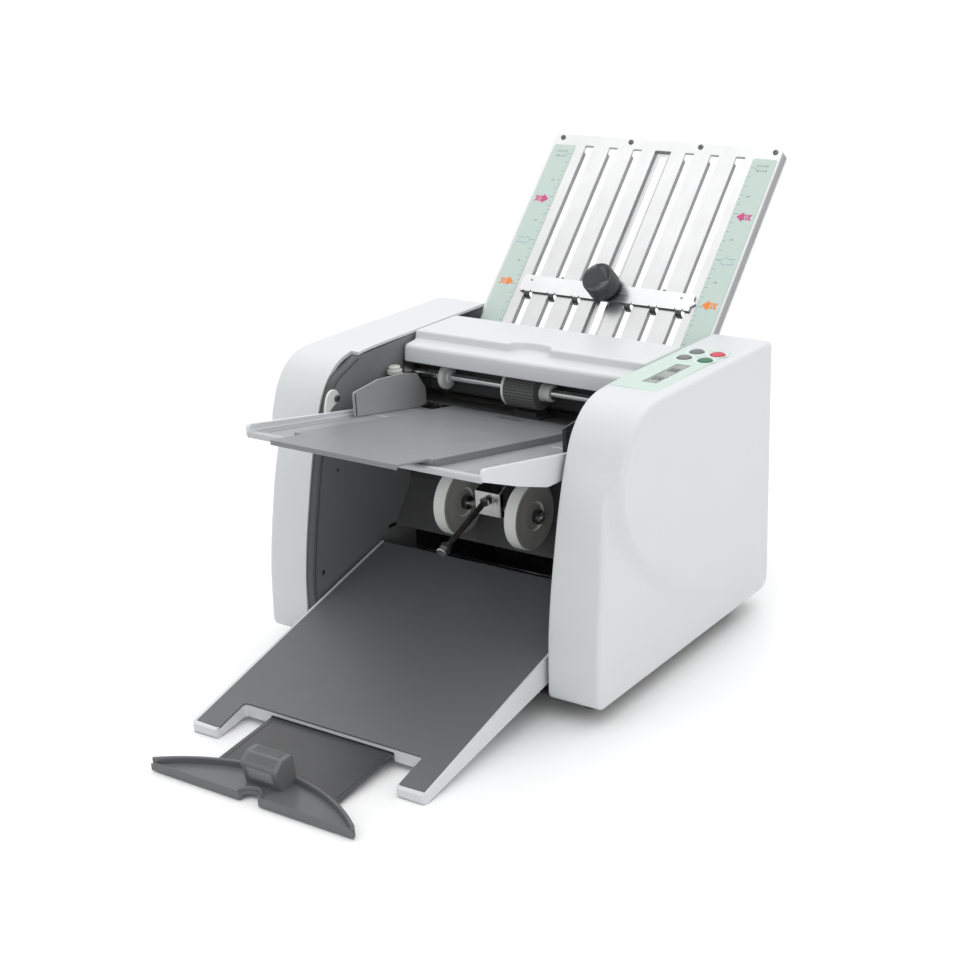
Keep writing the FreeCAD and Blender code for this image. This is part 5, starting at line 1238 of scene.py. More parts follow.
def feed_table():
    side = rounded([(-63.0, strip_z(-63) - 3.4), (-62.2, 214.0), (-59.5, 215.8), (60.0, 190.6), (150.0, 171.2), (150.0, 152.0), (40.0, 172.9), (20.6, 174.0), (-16.7, 187.3)],
                   [1.5, 3.4, 3.2, 0, 0.6, 0.6, 8.0, 12.0, 16.0], 6)
    bits = []
    for s in (-1, 1):
        a, b = (114.5, 118.0) if s > 0 else (-118.0, -114.5)
        bits.append(prism("tw%d" % s, side, a, b, to_yz, M["white2"], (), 1.1, 4, angle=40))
        # small step along the foot of the wall
        c, d = (113.3, 114.9) if s > 0 else (-114.9, -113.3)
        bits.append(prism("tf%d" % s, [(-62.0, strip_z(-62) - 0.4), (-62.0, strip_z(-62) + 1.6), (149.0, strip_z(149) + 1.6), (149.0, strip_z(149) - 0.4)], c, d,
                          to_yz, M["white2"], (), 0.4, 2))
    # white front lip, rolled over
    lip = rounded([(-63.6, strip_z(-63) - 5.6), (-63.6, strip_z(-63) + 0.9), (-57.6, strip_z(-57) + 0.9), (-57.6, strip_z(-57) - 3.4)], [1.8, 2.2, 0.6, 0.6], 5)
    bits.append(prism("lipp", lip, -115.5, 115.5, to_yz, M["lip"]))
    bits.append(prism("fl", [(-60.0, strip_z(-60) - 3.2), (-60.0, strip_z(-60) - 0.1), (150.0, strip_z(150) - 0.1), (150.0, strip_z(150) - 3.0)], -115.0, 115.0, to_yz, M["white2"]))
    # metal running surface let into it, with the slots the side guides slide in
    y0, y1 = -56.6, 149.6
    sl = [rect(s * 92.0 - 14.5, s * 92.0 + 14.5, yy, yy + 3.2, 1.5, 5) for s in (-1, 1) for yy in (84.0, 131.0)]
    bits.append(prism("ms", rect(-113.0, 113.0, y0, y1, 1.0, 3), lambda u, v: strip_z(v) - 0.6, lambda u, v: strip_z(v) + 0.05, to_xy, M["tabtop"], sl, 0.12, 1))
    for s in (-1, 1):
        bits.append(wall_along("gr%d" % s, [(s * 104.6, -50.0), (s * 104.6, 60.0)], (0.0, 0.5), 0.8, lambda u, v, w: mm(u, v, strip_z(v) + w), M["tabtop"], 0.3, 2))
        bits.append(lathe("tp%d" % s, turned([(0, 0), (0, 3.0), (7.0, 3.0), (7.0, 0)], 0.4), mm(s * 124.5, 54.0, 182.0), (-s, 0, 0), M["white2"], 28))
    for i, x in enumerate((-80, -40, 0, 40, 80)):
        bits.append(prism("ur%d" % i, [(-20.0, strip_z(-20) - 3.0), (148.0, strip_z(148) - 2.9), (148.0, strip_z(148) - 7.0), (40.0, strip_z(40) - 9.0)], x - 0.9, x + 0.9, to_yz, M["white2"]))
    stand(join("table_moulding", bits), "feed_table")

    pl = rounded([(-70.0, 150.0), (-70.0, -59.0), (-61.0, -59.0), (-61.0, -97.0), (65.0, -97.0), (65.0, -59.0), (70.0, -59.0), (70.0, 150.0)],
                 [1.0, 3.0, 1.0, 3.5, 3.5, 1.0, 3.0, 1.0], 5)
    top = lambda u, v: plate_z(v)
    bits = [prism("dk", pl, lambda u, v: plate_z(v) - 1.6, top, to_xy, M["deck"], [rect(-13.0, 15.0, 134.0, 139.0, 2.4, 5)], 0.45, 3)]
    for s in (-1, 1):
        a, b = (68.4, 69.9) if s > 0 else (-69.9, -68.4)
        bits.append(prism("ds%d" % s, [(-57.5, strip_z(-57.5) + 0.1), (-57.5, plate_z(-57.5) - 0.6), (149.6, plate_z(149.6) - 0.6), (149.6, strip_z(149.6) + 0.1)], a, b, to_yz, M["deck"]))
    bits.append(prism("df", [(-96.6, plate_z(-96.6) - 4.2), (-96.6, plate_z(-96.6) - 0.4), (-95.2, plate_z(-95.2) - 0.4), (-95.2, plate_z(-95.2) - 4.2)], -60.0, 64.0, to_yz, M["deck"], (), 0.3, 2))
    bits.append(prism("db", [(-58.8, strip_z(-58.8) + 0.9), (-58.8, plate_z(-58.8) - 0.6), (-57.4, plate_z(-57.4) - 0.6), (-57.4, strip_z(-57.4) + 0.9)], -69.0, 69.0, to_yz, M["deck"]))
    stand(join("deck_plate", bits), "table_plate")


def guides():
    gp = rounded([(60.0, strip_z(60) + 0.35), (60.6, 207.8), (94.4, 209.8), (125.9, 205.6), (148.0, 199.8), (159.4, 182.6), (159.0, strip_z(150) + 0.4), (150.0, strip_z(150) + 0.35)],
                 [0.5, 1.6, 1.6, 2.2, 2.0, 1.6, 1.0, 0], 5)
    for side, s in (("left", -1), ("right", 1)):
        mat = M["guide"] if s < 0 else M["dkplast"]
        x_in, x_out = (-107.6, -106.0) if s < 0 else (106.0, 107.6)
        bits = [prism("gw", gp, x_in, x_out, to_yz, mat, (), 0.4, 2)]
        fx = (-113.4, -107.0) if s < 0 else (107.0, 113.4)
        bits.append(prism("gf", rect(fx[0], fx[1], 64.0, 148.0, 1.6, 4), lambda u, v: strip_z(v) + 0.35, lambda u, v: strip_z(v) + 2.2, to_xy, mat, (), 0.4, 2))
        sx = (-119.0, -107.0) if s < 0 else (107.0, 119.0)
        ring = ring_pts(s * 114.3, 127.4, 2.08, 24)
        bits.append(prism("gs", rect(sx[0], sx[1], 119.0, 137.0, 2.2, 5), 200.6, 202.6, to_xy, mat, [ring], 0.4, 2))
        bits.append(prism("gp", rect(fx[0], fx[1], 135.0, 137.0, 0.5, 2), 171.6, 201.0, to_xy, mat, (), 0.3, 2))
        bits.append(prism("gt", rect(min(s * 106.0, s * 109.0), max(s * 106.0, s * 109.0), 61.0, 63.0, 0.4, 2), strip_z(62) + 0.4, 206.0, to_xy, mat, (), 0.3, 2))
        stand(join("guide_plate_" + side, bits), "side_guide_" + side)
        lo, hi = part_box("guide_screw_" + side)
        cy, z0 = (lo[1] + hi[1]) * 500.0 - OY, SCREW_Z
        rib = lambda t, a, r: r - 0.34 * (0.5 - 0.5 * math.cos(44 * t)) if (0.5 < a < 3.4 and r > 6.0) else r
        prof = turned([(0, 0), (0, 6.1), (0.4, 6.6), (3.4, 6.6), (3.8, 6.1), (3.8, 5.3), (6.1, 5.2), (6.8, 4.4), (6.8, 0)], [0, 0.2, 0.25, 0.25, 0.2, 0.2, 0.5, 0.5, 0], 3)
        kb = [lathe("sh", prof, mm(s * 114.3, cy, z0), (0, 0, 1), M["ivory"], 176, 38, rib),
              lathe("ss", [(0, 0), (0, 1.5), (0.5, 1.96), (z0 - 185.6, 1.96), (z0 - 185.6, 0)], mm(s * 114.3, cy, 186.0), (0, 0, 1), M["rod"], 20),
              lathe("sc", turned([(0, 2.05), (0, 3.4), (z0 - 203.3, 3.4), (z0 - 203.3, 2.05)], 0.15, 2, False), mm(s * 114.3, cy, 203.2), (0, 0, 1), M["lever"], 36)]
        stand(join("thumb_screw_" + side, kb), "guide_screw_" + side)


def lever():
    base = [(40.4, 206.4), (42.8, 209.6), (46.6, 211.6), (50.8, 211.4), (54.2, 209.4), (56.2, 206.2), (56.6, 202.8), (55.6, 200.2), (53.4, 198.6), (50.4, 197.9), (47.0, 196.6),
            (43.4, 193.8), (40.8, 189.8), (39.2, 188.0), (37.2, 187.9), (35.8, 189.2), (35.8, 191.4), (36.8, 195.2), (38.2, 201.0)]
    outl = curve(base + [base[0]], 5)[:-1]
    bits = [prism("lv", outl, -121.35, -118.95, to_yz, M["lever"], (), 0.75, 4, angle=40),
            prism("lv2", inset(outl, 2.6), -119.2, -118.85, to_yz, M["lever"], (), 0.3, 2, angle=40),
            lathe("lvp", turned([(0, 0), (0, 2.5), (7.4, 2.5), (7.4, 0)], 0.5), mm(-124.7, 52.5, 203.0), (1, 0, 0), M["hub"], 28),
            lathe("lvc", turned([(0, 0), (0, 3.3), (1.4, 2.9), (1.4, 0)], 0.3), mm(-118.9, 52.5, 203.0), (1, 0, 0), M["hub"], 32)]
    stand(join("release_lever_moulding", bits), "release_lever")


lid()
feed_table()
guides()
lever()


# ------------------------------------------------------------------ rollers and shafts
AX = {"A": (206.5183, 177.5168), "B": (201.5, 151.7), "C": (227.69992, 153.9922), "D": (206.06695, 125.79956)}


def axis_of(node):
    lo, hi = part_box(node)
    return ((lo[1] + hi[1]) * 500.0 - OY, (lo[2] + hi[2]) * 500.0 - OZ)


FA = (167.20, 193.62)
PA = (168.56, 138.01)
WA = (107.0, 105.0)
XG = -121.9 - 2.6 - 1.2 - 7.0


def shaft(name, c, x0, x1, r, mat, grooves=(), n=40):
    prof = [(0, 0), (0, r - 0.6), (0.6, r)]
    for g in sorted(grooves):
        prof += [(g - 0.5, r), (g - 0.5, r - 0.45), (g + 0.5, r - 0.45), (g + 0.5, r)]
    prof += [(x1 - x0 - 0.6, r), (x1 - x0, r - 0.6), (x1 - x0, 0)]
    return lathe(name, prof, mm(x0, *c), (1, 0, 0), mat, n, 25)


def clip(name, c, x, r, mat):
    """Spring clip in a shaft groove."""
    pts = [(c[0] + (r + 1.5) * math.cos(t), c[1] + (r + 1.5) * math.sin(t)) for t in np.linspace(0.5, 2 * math.pi - 0.5, 30)]
    pts += [(c[0] + (r - 0.3) * math.cos(t), c[1] + (r - 0.3) * math.sin(t)) for t in np.linspace(2 * math.pi - 0.5, 0.5, 30)]
    return prism(name, pts, x, x + 0.8, to_yz, mat)


def mesh_phase(c1, ph1, t1, c2, t2):
    d12 = math.degrees(math.atan2(c2[1] - c1[1], c2[0] - c1[0]))
    return d12 + 180.0 + ((d12 - ph1) * t1 + 180.0) / t2


def drive():
    A, B, C, D = AX["A"], AX["B"], AX["C"], AX["D"]
    mod = 26.3 / 26.0
    fa = math.atan2(193.5 - A[1], 167.5 - A[0])
    F = (A[0] + mod * 42 * math.cos(fa), A[1] + mod * 42 * math.sin(fa))
    pa = math.atan2(138.0 - D[1], 168.6 - D[0])
    P = (D[0] + mod * 39 * math.cos(pa), D[1] + mod * 39 * math.sin(pa))
    ph = {"B": 0.0}
    for k in "ACD":
        ph[k] = mesh_phase(B, 0.0, 26, AX[k], 26)
    ph_f = mesh_phase(A, ph["A"], 26, F, 58)
    ph_p = mesh_phase(D, ph["D"], 26, P, 52)
    for i, k in enumerate("ABCD"):
        c = AX[k]
        x0 = XG - (14.0 if k == "B" else 0.5)
        x1 = 121.9 + 2.6 + 1.2 + 7.0 if k == "D" else 121.9 + 4.5
        bits = [shaft("rs", c, x0, x1, 5.0, M["rod"], [x1 - x0 - 1.6], 36)]
        prof = [(0, 0), (0, 11.6), (1.2, 13.0)]
        for g in range(1, 12):
            a = 228.0 * g / 12
            prof += [(a - 1.1, 13.0), (a - 0.8, 12.5), (a + 0.8, 12.5), (a + 1.1, 13.0)]
        prof += [(226.8, 13.0), (228.0, 11.6), (228.0, 0)]
        bits.append(lathe("rt", prof, mm(-114.0, *c), (1, 0, 0), M["foldrub"], 72, 25))
        for xe in (-114.0 - 1.2, 114.0):
            bits.append(lathe("re", turned([(0, 0), (0, 8.4), (1.2, 8.4), (1.2, 0)], 0.2), mm(xe, *c), (1, 0, 0), M["rod"], 40))
        bits.append(gear_mesh("rg", c, XG, 26, ph[k], 7.0, M["gear"]))
        if k == "D":
            bits.append(gear_mesh("rg2", c, 121.9 + 2.6 + 1.2, 26, ph[k], 7.0, M["gear"]))
        if k == "B":
            bits.append(lathe("rp", turned([(0, 0), (0, 24.0), (1.5, 24.0), (1.5, 22.0), (10.5, 22.0), (10.5, 0)], 0.3), mm(XG - 13.5, *c), (1, 0, 0), M["gear"], 72))
        stand(join("fold_roller_turned_%d" % (i + 1), bits), "fold_roller_%d" % (i + 1))

    bits = [shaft("fs", F, XG, 126.9, 4.0, M["chrome"], [16.0, 240.0], 48), gear_mesh("fg", F, XG, 58, ph_f, 7.0, M["gear"])]
    bits.append(lathe("fgh", turned([(0, 0), (0, 9.0), (3.0, 9.0), (3.0, 0)], 0.4), mm(XG + 7.0, *F), (1, 0, 0), M["gear"], 40))
    for x in (-83.6, 83.0, 27.0, -19.9):
        bits.append(clip("cp%d" % x, F, x, 4.0, M["rod"]))
    stand(join("feed_spindle_turned", bits), "feed_shaft")

    rib = lambda t, a, r: r * (1.0 - 0.048 * (0.5 + 0.5 * math.cos(36 * t)) ** 1.6) if r > 15 else r
    prof = turned([(0, 4.05), (0, 15.7), (0.8, 16.5), (31.2, 16.5), (32.0, 15.7), (32.0, 4.05)], [0, 0.2, 0.3, 0.3, 0.2, 0], 2)
    bits = [lathe("fr", prof, mm(-16.0, *F), (1, 0, 0), M["tyre"], 288, 40, rib)]
    stand(join("feed_tyre", bits), "feed_roller")

    bits = [lathe("c0", turned([(0, 4.0), (0, 15.4), (0.4, 15.9), (1.8, 15.9), (2.4, 15.3), (2.4, 4.0)], 0.2, 2), mm(-18.5, *F), (1, 0, 0), M["collar2"], 72),
            lathe("c1", turned([(0, 4.0), (0, 7.9), (1.2, 7.9), (1.6, 7.5), (10.0, 7.5), (10.5, 7.0), (10.5, 4.0)], 0.3, 3), mm(16.0, *F), (1, 0, 0), M["collar"], 56)]
    for x in (-90.0, 84.0):
        bits.append(lathe("c2", turned([(0, 4.0), (0, 10.4), (0.8, 11.2), (4.6, 11.2), (5.4, 10.2), (6.0, 7.0), (6.0, 4.0)], 0.4, 3), mm(x, *F), (1, 0, 0), M["collar"], 56))
        bits.append(lathe("c3", turned([(0, 4.0), (0, 6.2), (2.0, 5.8), (2.0, 4.0)], 0.2, 2), mm(x + (6.0 if x < 0 else -2.0), *F), (1, 0, 0), M["collar"], 40))
    stand(join("feed_collar_rings", bits), "feed_collars")

    # stacker drive
    x0 = -121.9 - 4.5
    gx = 121.9 + 2.6 + 1.2
    bits = [shaft("ds", P, x0, gx + 7.0, 4.0, M["rod"], [3.0], 36), gear_mesh("dg", P, gx, 52, ph_p, 7.0, M["gear"]),
            lathe("dp", turned([(0, 0), (0, 5.8), (0.5, 5.8), (0.5, 5.0), (3.5, 5.0), (3.5, 5.8), (4.0, 5.8), (4.0, 0)], 0.15, 2), mm(6.0, *P), (1, 0, 0), M["gear"], 36)]
    stand(join("stacker_drive_turned", bits), "stacker_drive_shaft")


# ------------------------------------------------------------------ stacker wheels
def stacker():
    for_arm = rounded([(99.0, 101.0), (99.0, 122.4), (108.0, 127.0), (162.0, 146.5), (170.0, 146.6), (176.4, 141.0), (176.8, 134.0), (171.6, 130.6), (118.0, 97.6), (104.0, 97.6)],
                      [1.0, 1.0, 4.0, 4.0, 5.0, 4.0, 4.0, 4.0, 2.5, 2.0], 5)
    mat = M["bracket"]
    holes = [ring_pts(*WA, 3.1, 24), ring_pts(*PA, 4.1, 28)]
    bits = []
    for s in (-1, 1):
        a, b = (12.0, 13.6) if s > 0 else (-13.6, -12.0)
        bits.append(prism("ba%d" % s, for_arm, a, b, to_yz, mat, holes, 0.35, 2))
    U = rounded([(-13.6, 103.0), (-13.6, 98.0), (13.6, 98.0), (13.6, 103.0), (12.0, 103.0), (12.0, 99.8), (-12.0, 99.8), (-12.0, 103.0)], [0, 1.6, 1.6, 0, 0, 0.5, 0.5, 0], 5)
    bits.append(prism("bf", U, 101.0, 122.4, to_xy, mat, (), 0.3, 2))
    stand(join("bracket_sheet", bits), "stacker_bracket")

    rd = math.atan2(90.5 - 115.3, 28.0 - 96.6)
    d = Vector((0, math.cos(rd), math.sin(rd)))
    base = mm(0.0, 97.0, 115.42)
    prof = [(0, 0), (0, 2.6), (60.6, 2.6), (61.2, 3.0), (61.4, 5.0), (62.0, 5.4), (64.2, 5.4), (64.8, 5.0), (65.0, 3.4), (65.6, 3.2)]
    bits = [lathe("ro", prof + [(65.6, 0)], base, d, M["rod_dark"], 36, 30), lathe("rc", turned([(65.4, 0), (65.4, 4.9), (70.6, 4.9), (71.0, 4.0), (71.0, 0)], 0.5, 3), base, d, M["rod"], 36, 30),
            lathe("rn", turned([(1.2, 0), (1.2, 4.6), (3.6, 4.6), (3.6, 0)], 0.2, 2), base, d, M["rod"], 6, 20)]
    stand(join("handle_rod_turned", bits), "stacker_rod")

    bits = [shaft("wr", WA, -52.0, 52.0, 3.0, M["chrome"], [1.4, 102.6], 32)]
    for x0, x1 in ((-48.4, -43.8), (43.8, 48.4), (-30.3, -25.0), (25.0, 30.3)):
        bits.append(lathe("wb", turned([(0, 0), (0, 6.2), (x1 - x0, 6.2), (x1 - x0, 0)], 0.5, 3), mm(x0, *WA), (1, 0, 0), M["hub"], 40))
    for x in (-50.6, 48.4):
        bits.append(lathe("wn", turned([(0, 0), (0, 4.6), (2.2, 4.6), (2.2, 0)], 0.3, 2), mm(x, *WA), (1, 0, 0), M["rod"], 6, 20))
    bits.append(lathe("wp", turned([(0, 0), (0, 5.8), (0.5, 5.8), (0.5, 5.0), (3.5, 5.0), (3.5, 5.8), (4.0, 5.8), (4.0, 0)], 0.15, 2), mm(6.0, *WA), (1, 0, 0), M["gear"], 36))
    stand(join("wheel_spindle_turned", bits), "stacker_wheel_shaft")

    bits = []
    for x0 in (-30.6 - 12.7, 30.6):
        prof = [(1.4, 3.05), (1.4, 11.6), (0.6, 12.2), (0.0, 13.0), (0.0, 20.0), (0.35, 20.6), (0.35, 25.2), (0.0, 25.8), (0.0, 27.9), (0.5, 29.0), (1.5, 29.5), (11.2, 29.5), (12.2, 29.0),
                (12.7, 27.9), (12.7, 25.8), (12.35, 25.2), (12.35, 20.6), (12.7, 20.0), (12.7, 13.0), (12.1, 12.2), (11.3, 11.6), (11.3, 3.05)]
        bits.append(lathe("wh", prof, mm(x0, *WA), (1, 0, 0), M["wheel"], 128, 24))
    ob = join("stacker_tyres", bits)
    # the tyres' flat sides take the darker grey: painted shade on the faces turned to the sides
    ob.data.materials.append(M["wheel_side_painted_shade"])
    for p in ob.data.polygons:
        if abs(p.normal.x) > 0.8:
            p.material_index = 1
    stand(ob, "stacker_wheels")


drive()
stacker()


# ------------------------------------------------------------------ control panel
def top_z(y):
    return 232.8 + (y - 160.0) * (229.4 - 232.8) / 112.0 if y > 160 else 232.8 + (160.0 - y) * 1.2 / 58.0


def over(u, v, w):
    return mm(u, v, top_z(v) + w)


def control():
    out = rounded([(123.6, 103.4), (168.0, 103.4), (166.2, 228.4), (131.0, 228.4), (123.4, 205.0)], [3.0, 1.5, 2.0, 2.0, 3.0], 5)
    # points along the long edges, so that the film follows the slope of the cover
    fine = []
    for a, b in zip(out, out[1:] + out[:1]):
        k = max(1, int(math.hypot(b[0] - a[0], b[1] - a[1]) / 10.0))
        fine += [(a[0] + (b[0] - a[0]) * i / k, a[1] + (b[1] - a[1]) * i / k) for i in range(k)]
    holes = [ring_pts(x, y, 6.62, 40) for x, y in BUTTONS] + [rect(142.7, 156.3, 122.7, 178.3, 0.6, 3)]
    bits = [prism("ov", fine, 0.02, 0.42, over, M["mint2"], holes, 0.12, 1)]
    for i, (x, y) in enumerate(BUTTONS):
        bits.append(ring_decal("halo", ring_pts(x, y, 9.4, 48), ring_pts(x, y, 7.4, 48), over, 0.46, M["mint_light"]))
    stand(join("overlay_film", bits), "control_overlay")

    win = rect(142.8, 156.2, 122.8, 178.2, 0.8, 4)
    bits = [prism("dw", win, lambda u, v: 224.0 - top_z(v), 0.2, over, M["window"], (), 0.2, 2)]
    seg = {"a": (0, 1), "b": 1}
    t, hh, ww = 1.05, 3.7, 2.9

    def digit(cx, cy, which):
        o = []
        # across the window: u is the reading height, v the reading width
        H, W2 = hh, ww / 2
        horiz = {"a": H, "g": 0.0, "d": -H}
        for s in which:
            if s in horiz:
                u = horiz[s]
                o.append([(cx + u - t / 2, cy - W2 + 0.5), (cx + u + t / 2, cy - W2 + 0.5), (cx + u + t / 2, cy + W2 - 0.5), (cx + u - t / 2, cy + W2 - 0.5)])
            else:
                u0 = 0.3 if s in "bf" else -H + 0.3
                v = cy + (W2 if s in "bc" else -W2)
                o.append([(cx + u0, v - t / 2), (cx + u0 + H - 0.6, v - t / 2), (cx + u0 + H - 0.6, v + t / 2), (cx + u0, v + t / 2)])
        return o
    bits.append(ring_decal("fr", rect(143.6, 155.4, 123.6, 177.4), rect(144.0, 155.0, 124.0, 177.0), over, 0.23, M["lcd_line"]))
    for cy in (133.4, 138.0, 159.4, 164.0):
        for q in digit(149.6, cy, "abcdef"):
            bits.append(decal("sg", q, over, 0.24, M["lcd"]))
    ob = join("display_glass", bits)
    stand(ob, "display_window")

    for name, (bx, by), mat in zip(("button_up", "button_down", "button_stop", "button_start"), BUTTONS, (M["btn_grey"], M["btn_grey"], M["btn_red"], M["btn_green"])):
        zt = top_z(by) + 1.7
        prof = [(0, 0), (0, 2.0), (zt - 6.0 - 220.2, 2.0), (zt - 6.0 - 220.2, 5.6), (zt - 5.6 - 220.2, 6.2), (zt - 1.2 - 220.2, 6.2), (zt - 0.7 - 220.2, 6.05), (zt - 0.35 - 220.2, 5.6), (zt - 0.3 - 220.2, 4.6),
                (zt - 0.15 - 220.2, 3.0), (zt - 0.08 - 220.2, 1.4), (zt - 0.06 - 220.2, 0)]
        b = lathe(name + "_key", prof, mm(bx, by, 220.2), (0, 0, 1), mat, 56, 40)
        stand(b, name)


# ------------------------------------------------------------------ inner panels, frame parts, rear
def panels():
    edge = [(y + 0.9, z - 0.6) for y, z in FRONT[1:12]]
    left = [(6.4, 0.0), (4.6, 14.5)] + curve([(4.6, 14.5)] + [(y + 1.1, z - 0.7) for y, z in edge[:-2]] + [(89.4, 229.8)], 6)[1:] + \
        [(184.0, 229.3), (184.0, 218.8), (159.8, 218.8), (149.6, 208.6), (149.6, 0.0)]
    holes = [ring_pts(54.0, 182.0, 3.08, 24), ring_pts(86.0, 42.0, 3.08, 24), ring_pts(50.0, 138.0, 1.7, 20), ring_pts(20.0, 53.0, 2.7, 24), ring_pts(52.5, 203.0, 2.58, 24),
             ring_pts(24.0, 20.0, 1.5, 16), rect(112.0, 132.0, 60.0, 64.0, 2.0, 4)]
    bits = [prism("pl", left, -125.0, -122.05, to_yz, M["panel"], holes, 0.4, 3)]
    # front flange: a rounded band bent outwards, following the cover's front, drawn a darker grey than the panel as
    # painted shade
    spine = curve([(3.6, 2.0), (3.5, 14.5)] + edge[:-2] + [(88.6, 230.6)], 6)
    sp = np.array(spine, float)
    t = np.gradient(sp, axis=0)
    t /= np.hypot(t[:, 0], t[:, 1])[:, None]
    nn = np.c_[t[:, 1], -t[:, 0]]          # into the machine
    sec = [(-122.0, 3.4), (-121.97, 2.2), (-122.2, 1.1), (-122.9, 0.3), (-124.2, 0.0), (-129.9, 0.0), (-129.9, 2.0), (-125.3, 2.1), (-124.8, 2.6), (-124.8, 3.4)]
    m = len(sec)
    vs, fs = [], []
    for i in range(len(sp)):
        for x, d in sec:
            q = sp[i] + nn[i] * (d + 0.05)
            vs.append(mm(x, q[0], q[1]))
    for i in range(len(sp) - 1):
        for k in range(m):
            fs.append((i * m + k, i * m + (k + 1) % m, (i + 1) * m + (k + 1) % m, (i + 1) * m + k))
    fs += [tuple(range(m))[::-1], tuple(range((len(sp) - 1) * m, len(sp) * m))]
    bits.append(link("fl", vs, fs, M["panel_lip"], True, 38))
    for c in ((54.0, 182.0), (86.0, 42.0)):
        bits.append(lathe("pb", turned([(0, 3.1), (0, 6.4), (0.7, 6.4), (0.7, 3.1)], 0.15, 2), mm(-122.6, *c), (1, 0, 0), M["panel"], 40))
    bits.append(prism("pr", rounded([(10.0, 8.0), (140.0, 8.0), (140.0, 12.0), (10.0, 12.0)], 1.4, 3), -122.4, -121.95, to_yz, M["panel"], (), 0.2, 1))
    stand(join("inner_panel_sheet_left", bits), "inner_panel_left")

    inner = [(8.4, 49.0), (12.0, 74.0), (21.0, 115.0), (29.0, 146.0), (37.6, 173.2), (51.8, 205.0), (61.8, 216.5), (73.2, 224.1), (86.7, 228.4)]
    right = [(8.9, 0.0), (6.4, 12.0)] + curve([(6.4, 12.0)] + inner, 6)[1:] + [(90.0, 228.6), (149.6, 228.6), (149.6, 0.0)]
    holes = [ring_pts(54.0, 182.0, 3.08, 24), ring_pts(86.0, 42.0, 3.08, 24), ring_pts(50.0, 138.0, 1.7, 20), ring_pts(20.0, 53.0, 2.7, 24), rect(112.0, 132.0, 60.0, 64.0, 2.0, 4)]
    bits = [prism("prr", right, 122.0, 125.0, to_yz, M["panel"], holes, 0.5, 3)]
    stand(join("inner_panel_sheet_right", bits), "inner_panel_right")

    sc = [screw_head("t0", mm(-124.9, 50.0, 138.0), (1, 0, 0), 1.6, 2.2, M["inlet"]), screw_head("t1", mm(124.9, 50.0, 138.0), (-1, 0, 0), 1.6, 2.2, M["inlet"])]
    for i, (x, y) in enumerate(((-150, 60), (-150, 220), (150, 60), (150, 220), (-60, 150), (60, 150))):
        sc.append(screw_head("tb%d" % i, mm(x, y, -3.0), (0, 0, -1), 3.0, 1.2, M["screw"]))
    stand(join("panel_screw_heads", sc), "panel_screws")

    # base plate with four rounded openings, and its feet
    bits = [prism("bp", rect(-163.0, 163.0, 12.0, 268.0, 6.0, 6), -3.0, -0.0, to_xy, M["dark"], [rect(-30.0 + k * 20.0 - 6.0, -30.0 + k * 20.0 + 6.0, 196.0, 206.0, 4.0, 5) for k in range(4)], 0.5, 3)]
    stand(join("base_sheet", bits), "base_plate")
    ft = []
    for i, (x, y) in enumerate(((-140, 38), (140, 38), (-140, 244), (140, 244))):
        prof = [(0, 0), (0, 8.6), (0.8, 9.4), (3.0, 9.7), (3.6, 9.1), (4.2, 9.8), (12.6, 10.0), (13.5, 9.4), (13.5, 0)]
        ft.append(lathe("ft%d" % i, prof, mm(x, y, -16.5), (0, 0, 1), M["rubber"], 48, 30))
    stand(join("foot_set", ft), "rubber_feet")


def rear():
    W = 121.8
    out = rect(-W, W, 0.0, 184.0, 3.0, 5)
    holes = [rect(-117.5, 117.5, 78.0, 118.0, 3.0, 5), rect(66.6, 94.4, 13.6, 34.4, 1.5, 3), rect(98.9, 112.1, 13.0, 35.0, 1.0, 3)]
    holes += [rect(-90.0 + 14 * i, -82.0 + 14 * i, 14.0, 60.0, 3.9, 6) for i in range(8)]
    holes += [ring_pts(x, z, 1.7, 16) for x in (61.0, 117.2) for z in (24.0,)]
    bits = [prism("rp", out, 266.4, 269.4, to_xz, M["dark"], holes, 0.5, 3)]
    for x, z in ((-112.0, 8.0), (40.0, 8.0), (-112.0, 176.0), (0.0, 176.0), (112.0, 176.0), (-112.0, 66.0), (112.0, 66.0)):
        bits.append(screw_head("rsc", mm(x, 269.4, z), (0, 1, 0), 3.0, 1.3, M["screw"]))
    stand(join("rear_sheet", bits), "rear_panel")

    # mains inlet: flange, cup with cut corners and three blades
    fl = rounded([(67.0, 14.0), (94.0, 14.0), (94.0, 34.0), (67.0, 34.0)], 1.6, 4)
    cup = rounded([(69.4, 16.4), (91.6, 16.4), (91.6, 27.6), (87.6, 31.6), (73.4, 31.6), (69.4, 27.6)], 1.0, 3)
    bits = [prism("il", fl, 252.0, 270.6, to_xz, M["inlet"], [cup], 0.4, 2), prism("ib", cup, 252.4, 256.0, to_xz, M["inlet"])]
    for x, z in ((74.5, 23), (80.5, 26.5), (86.5, 23)):
        bits.append(prism("pin", rect(x - 1.0, x + 1.0, z - 2.0, z + 2.0, 0.3, 2), 255.5, 268.0, to_xz, M["chrome"], (), 0.4, 2))
    stand(join("inlet_moulding", bits), "power_inlet")
    sw = rounded([(264.0, 15.8), (270.4, 14.9), (271.4, 24.0), (272.2, 33.0), (264.0, 32.2), (258.0, 24.0)], [0.8, 1.0, 5.0, 1.0, 0.8, 2.0], 5)
    bits = [prism("sw", sw, 99.4, 111.6, to_yz, M["inlet"], (), 0.5, 3), lathe("swp", [(0, 0), (0, 0.9), (14.3, 0.9), (14.3, 0)], mm(98.35, 267.9, 24.0), (1, 0, 0), M["rod"], 16)]
    on = lambda u, v, w: mm(u, 270.55 + 0.1 * (v - 15.0) + w, v)
    bits.append(decal("on", rect(105.1, 105.9, 27.4, 31.0), on, 0.28, M["ink_white"]))
    bits.append(ring_decal("off", ring_pts(105.5, 18.8, 1.9, 24), ring_pts(105.5, 18.8, 1.35, 24), on, 0.34, M["ink_white"]))
    stand(join("rocker_moulding", bits), "power_switch")


control()
panels()
rear()


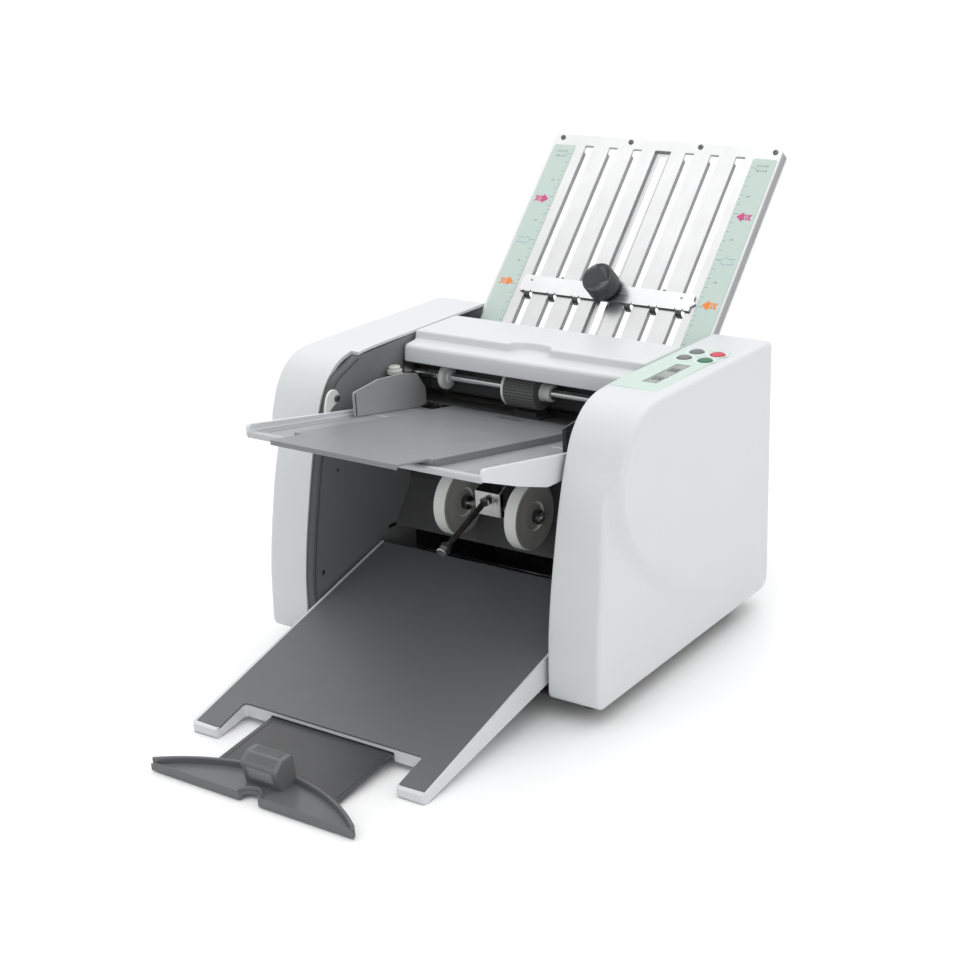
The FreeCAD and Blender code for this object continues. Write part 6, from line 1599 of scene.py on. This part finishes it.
# ------------------------------------------------------------------ stage and light
def stage():
    me = bpy.data.meshes.new("floor")
    s = 30.0
    me.from_pydata([(-s, -s, 0), (s, -s, 0), (s, s, 0), (-s, s, 0)], [], [(0, 1, 2, 3)])
    floor = bpy.data.objects.new("floor", me)
    bpy.context.scene.collection.objects.link(floor)
    a = Mat("floor_white", (0.93, 0.93, 0.935), 0.30, spec=0.30)
    floor.data.materials.append(a.done())

    # soft white surround: brightest overhead, falling off to the sides, a little stronger from the right and behind
    w = bpy.data.worlds.new("studio")
    bpy.context.scene.world = w
    w.use_nodes = True
    nt = w.node_tree
    bg = nt.nodes["Background"]
    tc = nt.nodes.new("ShaderNodeTexCoord")
    nm = nt.nodes.new("ShaderNodeVectorMath")
    nm.operation = "NORMALIZE"
    nt.links.new(tc.outputs["Generated"], nm.inputs[0])
    sep = nt.nodes.new("ShaderNodeSeparateXYZ")
    nt.links.new(nm.outputs[0], sep.inputs[0])

    def m(op, a, b=0.0, clamp=False):
        n = nt.nodes.new("ShaderNodeMath")
        n.operation, n.use_clamp = op, clamp
        for i, v in enumerate((a, b)):
            if isinstance(v, (int, float)):
                n.inputs[i].default_value = v
            else:
                nt.links.new(v, n.inputs[i])
        return n.outputs[0]
    up = m("MAXIMUM", sep.outputs[2], 0.0)
    low = m("MULTIPLY", m("POWER", m("SUBTRACT", 1.0, up), 10.0), SKY["c"])
    lift = m("ADD", m("ADD", m("MULTIPLY", m("POWER", up, SKY["p"]), SKY["b"]), SKY["a"]), low)
    side = m("ADD", m("MULTIPLY", sep.outputs[0], SKY["kx"]), m("MULTIPLY", sep.outputs[1], SKY["ky"]))
    val = m("MULTIPLY", lift, m("MAXIMUM", m("ADD", side, 1.0), 0.05))
    nt.links.new(val, bg.inputs[1])
    bg.inputs[0].default_value = (1.0, 1.0, 1.0, 1)

    def area(name, loc, target, sx, sy, power, color=(1, 1, 1)):
        li = bpy.data.lights.new(name, "AREA")
        li.shape, li.size, li.size_y, li.energy, li.color = "RECTANGLE", sx, sy, power, color
        ob = bpy.data.objects.new(name, li)
        bpy.context.scene.collection.objects.link(ob)
        ob.location = loc
        ob.rotation_euler = (Vector(target) - Vector(loc)).to_track_quat("-Z", "Y").to_euler()

    area("softbox_top", (-0.5, 0.3, 2.2), (0, 0, 0.15), 1.8, 1.8, SKY["top"])
    area("softbox_right", (2.4, 0.1, 0.9), (0.1, 0.05, 0.15), 1.4, 1.2, SKY["right"])
    area("softbox_front", (1.3, -2.3, 0.75), (-0.02, -0.03, 0.16), 1.0, 0.8, SKY["front"])
    sc = bpy.context.scene
    sc.view_settings.view_transform = "Standard"
    sc.view_settings.look = "None"
    sc.view_settings.exposure = 0.0
    sc.view_settings.gamma = 1.0


SKY = {"a": 0.38, "b": 1.27, "c": 0.45, "p": 1.0, "kx": -0.02, "ky": 0.34, "top": 4.0, "right": 0.7, "front": 7.8}
stage()
